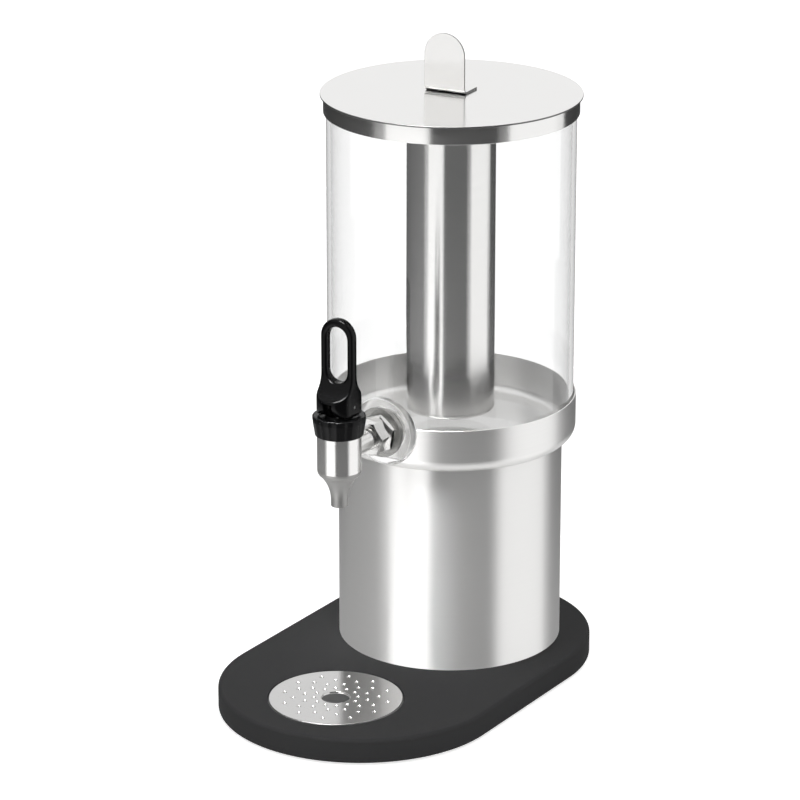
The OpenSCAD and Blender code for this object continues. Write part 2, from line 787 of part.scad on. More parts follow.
// Ring under the lid that the ice tube is pushed on, grooved for its rubber ring
module tube_socket() {
    groove_h = ring_d + rest_gap;
    color([0.78, 0.78, 0.77]) at_jar_axis(lid_under - socket_h) difference() {
        ring(socket_r, socket_r - socket_wall, socket_h);
        translate([0, 0, (socket_h - groove_h) / 2])
            ring(socket_r + cut, ring_r - ring_d / 2 - rest_gap, groove_h);
    }
}

// Rubber ring in the socket's groove
module socket_ring() {
    color([0.12, 0.12, 0.12]) at_jar_axis(lid_under - socket_h / 2)
        rotate_extrude() translate([ring_r, 0]) circle(ring_d / 2);
}

// Steel ice tube, open at its top
module ice_tube() {
    color([0.80, 0.80, 0.79]) at_jar_axis(tube_low + 3 * cut)
        ring(tube_r, tube_r - tube_wall, tube_high - tube_low - 3 * cut);
}

// Cap that closes the ice tube's lower end
module ice_tube_cap() {
    cap_round = 1.5;
    color([0.80, 0.80, 0.79]) at_jar_axis(tube_low) difference() {
        rotate_extrude() {
            vessel_section(tube_r, 3 * cut, cap_round);
            square([tube_r - tube_wall - rest_gap, tube_cap_h]);
        }
        translate([0, 0, 2 * cut]) cylinder(h = tube_cap_h, r = tube_r - tube_wall - rest_gap - 2);
    }
}

base_plate();
rubber_feet();
foot_screws();
pedestal_shell();
pedestal_foot();
base_screws();
pedestal_top();
cup();
drip_tray();
drip_plate();
jar();
outer_washer();
lock_nut();
tap_nut();
tap_body();
tap_shank();
inner_washer();
inner_nut();
bonnet();
bonnet_gasket();
valve_stem();
seat_cup();
stem_spring();
tap_lever();
lever_pin();
lid_disc();
lid_skirt();
lid_gasket();
lid_handle();
tube_socket();
socket_ring();
ice_tube();
ice_tube_cap();
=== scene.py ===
# Drink dispenser with a lever tap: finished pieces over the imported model, in metres.

import json
import math

import bmesh
import bpy
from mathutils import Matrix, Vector

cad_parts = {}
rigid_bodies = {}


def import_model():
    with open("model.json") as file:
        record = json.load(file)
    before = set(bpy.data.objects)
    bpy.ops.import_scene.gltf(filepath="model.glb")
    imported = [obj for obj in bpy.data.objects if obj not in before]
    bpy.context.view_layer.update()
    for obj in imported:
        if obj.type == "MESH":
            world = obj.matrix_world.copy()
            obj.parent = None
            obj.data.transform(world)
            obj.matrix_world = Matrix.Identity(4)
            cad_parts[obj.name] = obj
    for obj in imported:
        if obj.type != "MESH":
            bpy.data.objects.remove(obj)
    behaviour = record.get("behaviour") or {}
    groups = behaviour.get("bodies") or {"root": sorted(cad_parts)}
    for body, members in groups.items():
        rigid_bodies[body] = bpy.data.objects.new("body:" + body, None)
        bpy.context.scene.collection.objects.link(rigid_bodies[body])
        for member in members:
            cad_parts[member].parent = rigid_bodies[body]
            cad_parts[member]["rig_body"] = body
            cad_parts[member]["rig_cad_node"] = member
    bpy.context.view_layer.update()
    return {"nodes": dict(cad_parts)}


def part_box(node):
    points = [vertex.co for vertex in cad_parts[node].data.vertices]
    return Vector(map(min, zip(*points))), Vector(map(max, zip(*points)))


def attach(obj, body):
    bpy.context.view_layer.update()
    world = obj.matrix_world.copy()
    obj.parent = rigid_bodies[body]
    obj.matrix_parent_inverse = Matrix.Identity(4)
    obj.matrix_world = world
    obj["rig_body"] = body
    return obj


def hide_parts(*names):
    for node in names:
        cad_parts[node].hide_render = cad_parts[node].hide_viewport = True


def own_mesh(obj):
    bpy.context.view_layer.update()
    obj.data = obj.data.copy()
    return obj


bl_info = {
    "name": "Drink dispenser",
    "version": (1, 0, 0),
    "blender": (4, 5, 0),
    "location": "View3D > Sidebar > Dispenser",
    "description": "Models and finishes a clear drink dispenser with a lever tap, piece by piece",
    "category": "Add Mesh",
}

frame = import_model()
MM = 0.001
# Points of a mesh that are nearer than this are one point
MERGE = 1e-6


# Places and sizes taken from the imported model


BOXES = {node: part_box(node) for node in frame["nodes"]}


def low(node):
    return BOXES[node][0]


def high(node):
    return BOXES[node][1]


def middle(node):
    return (low(node) + high(node)) / 2


def half_width(node):
    return (high(node).x - low(node).x) / 2


JAR_AXIS = Vector((0, middle("ice_tube").y, 0))
TAP_AXIS = Vector((0, middle("seat_cup").y, 0))
DRIP_AXIS = Vector((0, middle("drip_plate").y, 0))
SHANK_AXIS = Vector((0, 0, middle("outer_washer").z))
PIN = middle("lever_pin")


# Modelling helpers


def let_go():
    """Leave edit mode and deselect everything."""
    if bpy.context.object is not None and bpy.context.object.mode != "OBJECT":
        bpy.ops.object.mode_set(mode="OBJECT")
    bpy.ops.object.select_all(action="DESELECT")


def only(obj):
    """Make one object the whole selection."""
    let_go()
    obj.select_set(True)
    bpy.context.view_layer.objects.active = obj


def named(name):
    """Name the primitive that was just added, and put its place into its mesh."""
    obj = bpy.context.active_object
    obj.name = obj.data.name = name
    bpy.ops.object.transform_apply(location=True, rotation=True, scale=True)
    return obj


def edit(obj, kind="FACE"):
    """Open a piece in edit mode with nothing selected."""
    only(obj)
    bpy.ops.object.mode_set(mode="EDIT")
    bpy.ops.mesh.select_mode(type=kind)
    bpy.ops.mesh.select_all(action="DESELECT")


def edit_all(obj, kind="FACE"):
    """Open a piece in edit mode with everything selected."""
    edit(obj, kind)
    bpy.ops.mesh.select_all(action="SELECT")


def pick(obj, kind, test):
    """Open a piece and select its faces, edges or vertices that pass a test."""
    edit(obj, kind)
    mesh = bmesh.from_edit_mesh(obj.data)
    parts = {"FACE": mesh.faces, "EDGE": mesh.edges, "VERT": mesh.verts}[kind]
    for part in parts:
        if test(part):
            part.select_set(True)
    mesh.select_flush_mode()
    bmesh.update_edit_mesh(obj.data)


def close_edit():
    """Leave edit mode, with the piece still selected."""
    bpy.ops.object.mode_set(mode="OBJECT")


def extrude(move):
    """Extrude what is selected in edit mode."""
    bpy.ops.mesh.extrude_region_move(TRANSFORM_OT_translate={"value": move})


def close_outwards():
    """Turn all faces of the piece in edit mode outwards, and leave edit mode."""
    bpy.ops.mesh.select_all(action="SELECT")
    bpy.ops.mesh.normals_make_consistent(inside=False)
    close_edit()


def shape_with(obj, label, kind, **settings):
    """Give a piece a modifier and apply it."""
    only(obj)
    modifier = obj.modifiers.new(label, kind)
    for key, value in settings.items():
        setattr(modifier, key, value)
    bpy.ops.object.modifier_apply(modifier=modifier.name)


def cut(obj, tool, how="DIFFERENCE"):
    """Cut, join or trim a piece with a tool shape, then put the tool away."""
    shape_with(obj, how.title(), "BOOLEAN", operation=how, solver="EXACT", object=tool)
    bpy.data.objects.remove(tool)


def bevel(obj, offset, segments, test):
    """Round the edges of a piece that pass a test."""
    pick(obj, "EDGE", test)
    bpy.ops.mesh.bevel(offset=offset, segments=segments, profile=0.5)
    close_edit()


def joined(pieces):
    """Join several objects into the first one."""
    let_go()
    for piece in pieces:
        piece.select_set(True)
    bpy.context.view_layer.objects.active = pieces[0]
    bpy.ops.object.join()
    return pieces[0]


def turned(name, rings, centre, along="Z", sides=160, bore=False):
    """Model a round piece from a circle that is extruded and resized from ring to ring."""
    let_go()
    way = "XYZ".index(along)
    place = Vector(centre)
    place[way] = rings[0][1]
    bpy.ops.mesh.primitive_circle_add(
        vertices=sides,
        radius=rings[0][0],
        fill_type="NOTHING" if bore else "NGON",
        location=place,
        rotation=(math.pi / 2, 0, 0) if along == "Y" else (0, 0, 0),
    )
    obj = named(name)
    edit_all(obj, "EDGE" if bore else "FACE")
    radius, reach = rings[0]
    for new_radius, new_reach in rings[1:] + rings[:1] * bore:
        move = Vector((0, 0, 0))
        move[way] = new_reach - reach
        extrude(move)
        if new_radius != radius:
            size = Vector([new_radius / radius] * 3)
            size[way] = 1
            bpy.ops.transform.resize(value=size, center_override=centre)
        radius, reach = new_radius, new_reach
    bpy.ops.mesh.select_all(action="SELECT")
    bpy.ops.mesh.remove_doubles(threshold=MERGE)
    close_outwards()
    return obj


def rod(name, radius, start, end, centre, along="Z", sides=160):
    """A plain round shape to cut with."""
    return turned(name, [(radius, start), (radius, end)], centre, along, sides)


def line_through(name, points):
    """Draw a line by extruding one point from place to place, and stay in edit mode."""
    let_go()
    bpy.ops.mesh.primitive_plane_add(size=MM, location=points[0])
    obj = named(name)
    edit_all(obj, "VERT")
    bpy.ops.mesh.merge(type="CENTER")
    for here, there in zip(points, points[1:]):
        bpy.ops.mesh.extrude_vertices_move(TRANSFORM_OT_translate={"value": there - here})
    bpy.ops.mesh.select_all(action="SELECT")
    return obj


def drawn(name, outline, depth):
    """Model a flat piece from its drawn outline, which is filled and given a depth."""
    obj = line_through(name, outline)
    bpy.ops.mesh.edge_face_add()
    extrude(depth)
    close_outwards()
    return obj


def laid_out(outline, start, across="X"):
    """Lay a flat outline out in space, its first measure across X or Y and its second up."""
    x, y, z = start
    if across == "X":
        return [Vector((x + side, y, z + up)) for side, up in outline]
    return [Vector((x, y + side, z + up)) for side, up in outline]


def arc(centre_r, centre_d, radius, start, end, steps):
    """Points along an arc of a profile or outline, angles in degrees from outwards."""
    angles = [math.radians(start + (end - start) * i / steps) for i in range(steps + 1)]
    return [(centre_r + radius * math.cos(a), centre_d + radius * math.sin(a)) for a in angles]


def disc_rings(outer, start, end, edge):
    """Rings of a solid disc with softly rounded edges."""
    return (
        arc(outer - edge, start + edge, edge, -90, 0, 3)
        + arc(outer - edge, end - edge, edge, 0, 90, 3)
    )


def tube_rings(outer, inner, start, end, edge):
    """Rings of a tube or washer with softly rounded edges."""
    return (
        disc_rings(outer, start, end, edge)
        + arc(inner + edge, end - edge, edge, 90, 180, 3)
        + arc(inner + edge, start + edge, edge, 180, 270, 3)
    )


def filled(obj, node):
    """Stretch a smoothed piece a little, so that it fills its node's box again."""
    points = [v.co for v in obj.data.vertices]
    start = Vector([min(p[i] for p in points) for i in range(3)])
    end = Vector([max(p[i] for p in points) for i in range(3)])
    wanted_start, wanted_end = low(node), high(node)
    edit_all(obj)
    size = [(wanted_end[i] - wanted_start[i]) / (end[i] - start[i]) for i in range(3)]
    bpy.ops.transform.resize(value=size, center_override=(start + end) / 2)
    bpy.ops.transform.translate(value=(wanted_start + wanted_end - start - end) / 2)
    close_edit()


def settle(obj, body, finish, slot, *nodes, angle=38):
    """Shade a finished piece, dress it and let it ride on its body in its nodes' place."""
    only(obj)
    bpy.ops.object.shade_smooth_by_angle(angle=math.radians(angle))
    shape_with(obj, "Flat faces stay flat", "WEIGHTED_NORMAL", keep_sharp=True)
    obj.data.materials.clear()
    obj.data.materials.append(FINISHES[finish])
    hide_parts(*nodes)
    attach(obj, body)
    let_go()


def dress(obj, finish, test):
    """Give the faces that pass a test a finish of their own."""
    obj.data.materials.append(FINISHES[finish])
    pick(obj, "FACE", test)
    obj.active_material_index = len(obj.data.materials) - 1
    bpy.ops.object.material_slot_assign()
    close_edit()


# Shader nodes and the node groups shared by the finishes


def new_material(name):
    """A new material and its node tree."""
    material = bpy.data.materials.new(name)
    material.use_nodes = True
    return material, material.node_tree


def feed(tree, socket, value):
    """Link another node's output to a socket, or give the socket a plain value."""
    if hasattr(value, "is_output"):
        tree.links.new(value, socket)
    else:
        socket.default_value = value


def math_node(tree, operation, first, second):
    node = tree.nodes.new("ShaderNodeMath")
    node.operation = operation
    feed(tree, node.inputs[0], first)
    feed(tree, node.inputs[1], second)
    return node.outputs[0]


def vector_node(tree, operation, vector, socket, value):
    node = tree.nodes.new("ShaderNodeVectorMath")
    node.operation = operation
    feed(tree, node.inputs[0], vector)
    feed(tree, node.inputs[socket], value)
    return node.outputs[0]


def noise_node(tree, vector, scale, detail, roughness=0.5):
    """How far a noise lies above or below its middle, and the noise itself."""
    node = tree.nodes.new("ShaderNodeTexNoise")
    feed(tree, node.inputs["Vector"], vector)
    feed(tree, node.inputs["Scale"], scale)
    feed(tree, node.inputs["Detail"], detail)
    feed(tree, node.inputs["Roughness"], roughness)
    noise = node.outputs["Fac"]
    return math_node(tree, "SUBTRACT", noise, 0.5), noise


def spread(tree, value, change, amount):
    """A value that a change moves up and down by an amount."""
    return math_node(tree, "ADD", math_node(tree, "MULTIPLY", change, amount), value)


def surface_group(name, own_inputs, pattern):
    """A shader node group whose pattern changes a colour, a roughness and a height.

    The pattern takes the group and its given sockets, and returns how the shade changes
    and by how much, how the roughness changes, and the height.
    """
    group = bpy.data.node_groups.new(name, "ShaderNodeTree")
    inputs = (
        ("Vector", "NodeSocketVector", (0.0, 0.0, 0.0)),
        ("Color", "NodeSocketColor", (0.5, 0.5, 0.5, 1.0)),
        ("Roughness", "NodeSocketFloat", 0.4),
        ("Roughness Spread", "NodeSocketFloat", 0.1),
    )
    for label, kind, value in inputs + own_inputs:
        socket = group.interface.new_socket(label, in_out="INPUT", socket_type=kind)
        socket.default_value = value
    for label, kind in (
        ("Color", "NodeSocketColor"),
        ("Roughness", "NodeSocketFloat"),
        ("Height", "NodeSocketFloat"),
    ):
        group.interface.new_socket(label, in_out="OUTPUT", socket_type=kind)
    given = group.nodes.new("NodeGroupInput").outputs
    result = group.nodes.new("NodeGroupOutput").inputs
    shade_change, amount, gloss_change, height = pattern(group, given)
    shade = spread(group, 1.0, shade_change, amount)
    feed(group, result["Color"], vector_node(group, "SCALE", given["Color"], "Scale", shade))
    gloss = spread(group, given["Roughness"], gloss_change, given["Roughness Spread"])
    feed(group, result["Roughness"], gloss)
    feed(group, result["Height"], height)
    return group


def brushed_lines(group, given):
    """Fine parallel lines with slow, faint clouds, for brushed and turned steel."""
    stretched = vector_node(group, "MULTIPLY", given["Vector"], 1, given["Stretch"])
    off_line, lines = noise_node(group, stretched, 1.0, 5.0, 0.65)
    off_cloud, _ = noise_node(group, given["Vector"], 14.0, 2.0)
    change = spread(group, off_line, off_cloud, 0.35)
    return change, given["Line Contrast"], change, lines


def handled_surface(group, given):
    """Slow clouds of handling and fine specks, for plastic, rubber and castings."""
    off_cloud, _ = noise_node(group, given["Vector"], given["Cloud Scale"], 4.0, 0.6)
    off_grain, grain = noise_node(group, given["Vector"], given["Grain Scale"], 1.0)
    both = math_node(group, "ADD", off_cloud, off_grain)
    return both, given["Shade Spread"], off_cloud, grain


# Finishes


# Lines that run round an upright piece
ROUND_LINES = (10.0, 10.0, 2600.0)
# Strength and depth of the relief of all brushed lines
LINE_BUMP = (0.15, 0.00002)

# For each metal its name, colour, the lines' stretch in x, y and z, roughness, contrast of
# the lines, spread of the roughness, metallic share and the shine across its round lines
METALS = {
    "pedestal": ("Brushed pedestal steel", "steel", ROUND_LINES, 0.34, 0.05, 0.08, 0.84, 0.9),
    "sheet": ("Brushed sheet steel", "steel", ROUND_LINES, 0.20, 0.08, 0.08, 1.0, 0.8),
    "cup": ("Brushed cup steel", "steel", ROUND_LINES, 0.34, 0.08, 0.08, 0.92, 0.4),
    "tube": ("Brushed tube steel", "steel", ROUND_LINES, 0.22, 0.12, 0.08, 1.0, 0.8),
    "lid": ("Brushed lid steel", "steel", (900.0, 12.0, 900.0), 0.16, 0.03, 0.06, 1.0, 0.0),
    "plate": ("Brushed plate steel", "plate", (12.0, 1200.0, 12.0), 0.14, 0.06, 0.08, 1.0, 0.0),
    "tap": ("Turned tap steel", "steel", (20.0, 20.0, 3200.0), 0.22, 0.10, 0.08, 1.0, 0.6),
    "spout": ("Satin spout steel", "spout", (300.0, 300.0, 300.0), 0.46, 0.06, 0.06, 0.7, 0.0),
    "bright": ("Bright nut steel", "nut", (700.0, 700.0, 700.0), 0.2, 0.08, 0.12, 1.0, 0.0),
    # The edge finish is a darker steel: painted shade on the rims of the lid and the drip plate
    # and under the handle's bend, and the colour of the handle strip's cut edges
    "edge": ("Cut steel edge and painted shade", "edge", (900.0, 900.0, 900.0), 0.4, 0.10, 0.10, 1.0, 0.0),
    "screw": ("Screw steel", "screw", (900.0, 900.0, 900.0), 0.35, 0.15, 0.15, 0.5, 0.0),
}

# For each plastic, rubber or casting its name, colour, roughness, spread of the roughness
# and of the shade, scale of the clouds and of the grain, strength and depth of its relief,
# and the sockets that are its own
SKINS = {
    "board": (
        "Black board", "board", 0.58, 0.12, 0.10, 9.0, 1800.0, (0.12, 0.0001),
        {"Specular IOR Level": 0.01},
    ),
    "black": (
        "Black gloss plastic", "black", 0.16, 0.08, 0.08, 60.0, 3000.0, (0.02, 0.00004),
        {"Specular IOR Level": 0.1},
    ),
    "bonnet": (
        "Black bonnet plastic", "bonnet", 0.24, 0.10, 0.10, 80.0, 2600.0, (0.05, 0.00005),
        {"Specular IOR Level": 0.12},
    ),
    "tray": ("Dark tray plastic", "tray", 0.5, 0.12, 0.10, 40.0, 1800.0, (0.1, 0.0001), {}),
    "rubber": ("Black rubber", "rubber", 0.7, 0.15, 0.15, 90.0, 2400.0, (0.2, 0.0001), {}),
    "casting": (
        "Grey casting", "casting", 0.6, 0.15, 0.15, 60.0, 1200.0, (0.4, 0.0002),
        {"Metallic": 0.4},
    ),
    "silicone": (
        "Milky silicone", "silicone", 0.22, 0.10, 0.04, 60.0, 1500.0, (0.05, 0.00005),
        {"Transmission Weight": 0.85, "IOR": 1.41},
    ),
    "frosted": (
        "Frosted boss edge", "clear", 0.35, 0.05, 0.02, 60.0, 1500.0, None,
        {"Transmission Weight": 1.0, "IOR": 1.49},
    ),
    "clear": (
        "Clear jar plastic", "clear", 0.0, 0.0, 0.01, 20.0, 600.0, None,
        {"Transmission Weight": 1.0, "IOR": 1.49},
    ),
}

FINISHES = {}


def new_finish(name, group, values, bump, sockets):
    """A finish of one Principled shader whose colour, gloss and bump come from a group."""
    finish, tree = new_material(name)
    shader = tree.nodes["Principled BSDF"]
    for label, value in sockets.items():
        shader.inputs[label].default_value = value
    place = tree.nodes.new("ShaderNodeTexCoord")
    effect = tree.nodes.new("ShaderNodeGroup")
    effect.node_tree = group
    for label, value in values.items():
        effect.inputs[label].default_value = value
    feed(tree, effect.inputs["Vector"], place.outputs["Object"])
    feed(tree, shader.inputs["Base Color"], effect.outputs["Color"])
    feed(tree, shader.inputs["Roughness"], effect.outputs["Roughness"])
    if bump:
        relief = tree.nodes.new("ShaderNodeBump")
        relief.inputs["Strength"].default_value, relief.inputs["Distance"].default_value = bump
        feed(tree, relief.inputs["Height"], effect.outputs["Height"])
        feed(tree, shader.inputs["Normal"], relief.outputs["Normal"])
    return finish


def shine_round_z(finish, amount):
    """Spread the shine upwards and downwards, across lines that run round an upright axis."""
    tree = finish.node_tree
    shader = tree.nodes["Principled BSDF"]
    shader.inputs["Anisotropic"].default_value = amount
    shader.inputs["Anisotropic Rotation"].default_value = 0.25
    tangent = tree.nodes.new("ShaderNodeTangent")
    tangent.direction_type = "RADIAL"
    tangent.axis = "Z"
    feed(tree, shader.inputs["Tangent"], tangent.outputs[0])


def let_light_through(finish):
    """Let lamps, bounced light and reflections pass a clear piece straight."""
    tree = finish.node_tree
    ray = tree.nodes.new("ShaderNodeLightPath").outputs
    plain = math_node(tree, "MAXIMUM", ray["Is Shadow Ray"], ray["Is Diffuse Ray"])
    # A refracted ray counts as glossy too, so only true reflections are let through
    mirrored = math_node(tree, "SUBTRACT", ray["Is Glossy Ray"], ray["Is Transmission Ray"])
    mix = tree.nodes.new("ShaderNodeMixShader")
    straight = tree.nodes.new("ShaderNodeBsdfTransparent")
    feed(tree, mix.inputs[0], math_node(tree, "MAXIMUM", plain, mirrored))
    feed(tree, mix.inputs[1], tree.nodes["Principled BSDF"].outputs[0])
    feed(tree, mix.inputs[2], straight.outputs[0])
    feed(tree, tree.nodes["Material Output"].inputs["Surface"], mix.outputs[0])


def make_finishes(colors):
    """Make the two node groups, and from them every metal and skin."""
    brushed = surface_group(
        "Brushed Lines",
        (
            ("Stretch", "NodeSocketVector", (1.0, 1.0, 1.0)),
            ("Line Contrast", "NodeSocketFloat", 0.1),
        ),
        brushed_lines,
    )
    handled = surface_group(
        "Handled Surface",
        (
            ("Cloud Scale", "NodeSocketFloat", 30.0),
            ("Grain Scale", "NodeSocketFloat", 2500.0),
            ("Shade Spread", "NodeSocketFloat", 0.1),
        ),
        handled_surface,
    )
    for key, row in METALS.items():
        name, color, stretch, roughness, contrast, change, metallic, shine = row
        values = {
            "Color": (*getattr(colors, color), 1.0),
            "Stretch": stretch,
            "Roughness": roughness,
            "Line Contrast": contrast,
            "Roughness Spread": change,
        }
        FINISHES[key] = new_finish(name, brushed, values, LINE_BUMP, {"Metallic": metallic})
        if shine:
            shine_round_z(FINISHES[key], shine)
    for key, row in SKINS.items():
        name, color, roughness, change, shade, clouds, grain, bump, sockets = row
        values = {
            "Color": (*getattr(colors, color), 1.0),
            "Roughness": roughness,
            "Roughness Spread": change,
            "Shade Spread": shade,
            "Cloud Scale": clouds,
            "Grain Scale": grain,
        }
        FINISHES[key] = new_finish(name, handled, values, bump, sockets)
        if "Transmission Weight" in sockets:
            let_light_through(FINISHES[key])


# Sizes and colours that a user may change


def size(name, text, default, least=0.0):
    return bpy.props.FloatProperty(
        name=name,
        description=text,
        default=default,
        min=least,
        subtype="DISTANCE",
        unit="LENGTH",
        precision=5,
    )


def turning(name, text, degrees):
    return bpy.props.FloatProperty(
        name=name,
        description=text,
        default=math.radians(degrees),
        subtype="ANGLE",
        unit="ROTATION",
    )


def tint(name, text, default):
    return bpy.props.FloatVectorProperty(
        name=name,
        description=text,
        default=default,
        size=3,
        min=0.0,
        max=1.0,
        subtype="COLOR",
    )


def glow(name, text, default, unit="NONE"):
    return bpy.props.FloatProperty(
        name=name, description=text, default=default, min=0.0, unit=unit
    )


class DispenserBaseSizes(bpy.types.PropertyGroup):
    board_edge: size("Board edge", "Rounding along the board's edges", 2.5 * MM)
    sheet_edge: size("Sheet edge", "Rounding of the pedestal's and the cup's edges", 0.3 * MM)
    cup_round: size("Cup foot", "Radius of the cup's rounded foot", 9.7 * MM)
    sheet: size("Sheet", "Thickness of the cup and the lid's skirt", 1.0 * MM)
    shell: size("Shell", "Thickness of the pedestal's shell", 1.2 * MM)
    notch: size("Notch", "Half the width of the cup's notch", 25.7 * MM)
    drain: size("Drain hole", "Radius of a drain hole", 1.4 * MM)
    sink: size("Hole edge", "Depth of the turned-off edge of a drain hole", 0.32 * MM)
    finger: size("Finger hole", "Radius of the finger hole", 10.0 * MM)
    first_row: size("First row", "Radius of the first row of drain holes", 15.6 * MM)
    row_step: size("Row step", "Distance between the rows of drain holes", 7.27 * MM)
    pattern_turn: turning(
        "Pattern turn", "Turn of the hole pattern as the plate lies in the board", 3.8
    )


class DispenserJarSizes(bpy.types.PropertyGroup):
    wall: size("Wall", "Thickness of the jar's wall", 3.0 * MM)
    floor: size("Floor", "Thickness of the jar's floor", 6.0 * MM)
    inner_round: size("Inner rounding", "Rounding where wall and floor meet inside", 2.5 * MM)
    rim: size("Rim", "Rounding of the jar's rim", 0.8 * MM)
    boss: size("Boss", "Radius of the boss that carries the tap", 24.2 * MM)
    boss_out: size("Boss height", "How far the boss stands out", 3.8 * MM)
    boss_in: size("Pad height", "How far the pad stands in", 2.2 * MM)
    pad: size("Pad", "Radius of the pad behind the boss", 17.0 * MM)
    hole: size("Hole", "Radius of the hole for the tap", 8.5 * MM)
    tube_wall: size("Tube wall", "Thickness of the ice tube", 0.8 * MM)


class DispenserTapSizes(bpy.types.PropertyGroup):
    spout: size("Spout", "Radius of the spout", 6.0 * MM)
    spout_bore: size("Spout bore", "Radius of the spout's bore", 4.6 * MM)
    spout_straight: size("Spout end", "Length of the spout's straight end", 4.3 * MM)
    taper: size("Neck", "Radius of the wide end of the neck over the spout", 12.3 * MM)
    taper_curve: size("Neck curve", "Radius of the hollow curve of that neck", 26.7 * MM)
    barrel: size("Barrel", "Depth of the straight barrel below the shank", 11.3 * MM)
    barrel_round: size("Barrel rounding", "Radius of the rounding under the barrel", 5.5 * MM)
    chamber: size("Chamber", "Radius of the valve chamber", 12.4 * MM)
    collar: size("Collar", "Radius of the collar inside the bonnet", 14.0 * MM)
    nut_flats: size("Nut", "Width of the thick nut across its flats", 22.0 * MM)
    lock_flats: size("Lock nut", "Width of the thin nut across its flats", 25.0 * MM)
    flute: size("Flute", "Depth of the bonnet's flutes", 0.8 * MM)
    heel: size("Heel", "Height of the lever's pin above its heel", 7.0 * MM)
    heel_rate: size("Heel growth", "How much the heel grows for each radian", 5.4 * MM)
    loop: size("Loop", "Thickness of the lever's loop", 6.6 * MM)
    cove: size("Cove", "Radius of the hollows between loop and heels", 17.5 * MM)
    cove_low: size("Cove start", "Where the hollows start above the heels' ends", 0.4 * MM)
    hole: size("Loop hole", "Width of the hole in the loop", 16.5 * MM)
    hole_low: size("Hole start", "Height of the hole's lower end above the pin", 16.1 * MM)
    slot: size("Slot", "Width of the lever's front slot", 7.4 * MM)


class DispenserLidSizes(bpy.types.PropertyGroup):
    handle: size("Handle", "Thickness of the lid's handle", 1.5 * MM)
    handle_width: size("Handle width", "Width of the lid's handle", 31.3 * MM)
    handle_foot: size("Handle foot", "Length of the handle's foot", 20.4 * MM)
    bend: size("Bend", "Outer radius of the bend in the handle", 4.5 * MM)
    front: size("Handle place", "Distance of the handle's front from the lid's middle", 4.8 * MM)
    shift: size("Handle shift", "Sideways place of the handle on the lid", -3.5 * MM, least=-0.1)
    turn: turning("Lid turn", "Turn of the lid as it lies on the jar", 5)


class DispenserColors(bpy.types.PropertyGroup):
    steel: tint("Steel", "Brushed and polished steel", (0.80, 0.795, 0.785))
    plate: tint("Plate", "Polished steel of the drip plate", (0.58, 0.575, 0.57))
    nut: tint("Nuts", "Bright steel of nuts and shank", (0.74, 0.735, 0.725))
    spout: tint("Spout", "Satin steel of the spout", (0.37, 0.367, 0.36))
    # Painted shade for rims and the underside of the handle's bend, and the handle strip's cut
    # edges
    edge: tint("Cut edges and painted shade", "Darker steel of cut edges, and painted shade on rims and bends", (0.16, 0.16, 0.158))
    screw: tint("Screws", "Screws, pins and springs", (0.56, 0.56, 0.56))
    board: tint("Board", "Satin black base board", (0.047, 0.047, 0.048))
    black: tint("Lever", "Gloss black plastic", (0.004, 0.004, 0.0045))
    bonnet: tint("Bonnet", "Black plastic of the bonnet", (0.007, 0.007, 0.0075))
    tray: tint("Tray", "Dark plastic of the tray", (0.03, 0.03, 0.031))
    rubber: tint("Rubber", "Black rubber", (0.02, 0.02, 0.02))
    casting: tint("Casting", "Grey casting in the pedestal", (0.18, 0.18, 0.19))
    silicone: tint("Silicone", "Milky silicone", (0.48, 0.48, 0.465))
    clear: tint("Clear plastic", "Clear plastic of the jar", (0.985, 0.986, 0.985))


class DispenserStage(bpy.types.PropertyGroup):
    world: glow("Room light", "Soft light from all sides", 0.55)
    lamp: glow("Lamp", "Power of the large lamp overhead", 9.0, unit="POWER")
    surround: size("Surround", "Distance of the cards that the steel reflects", 2.4)
    left: glow("Left softbox", "Light of the left softbox", 1.1)
    left_foot: glow("Left softbox foot", "Light of the left softbox at its foot", 2.3)
    right: glow("Right softbox", "Light of the right softbox", 1.12)
    right_foot: glow("Right softbox foot", "Light of the right softbox at its foot", 1.25)
    dark: glow("Dark cards", "Light of the dark cards", 0.05)
    dark_foot: glow("Dark cards' foot", "Light of the dark cards at their foot", 0.75)
    middle_foot: glow("Middle card's foot", "Light of the middle dark card at its foot", 0.45)
    overhead: glow("Overhead softbox", "Light of the small softbox overhead", 60.0)


# Pieces


class DISPENSER_OT_finishes(bpy.types.Operator):
    """Make the node groups and all finishes"""

    bl_idname = "dispenser.finishes"
    bl_label = "Finishes"

    def execute(self, context):
        make_finishes(context.scene.dispenser_colors)
        return {"FINISHED"}


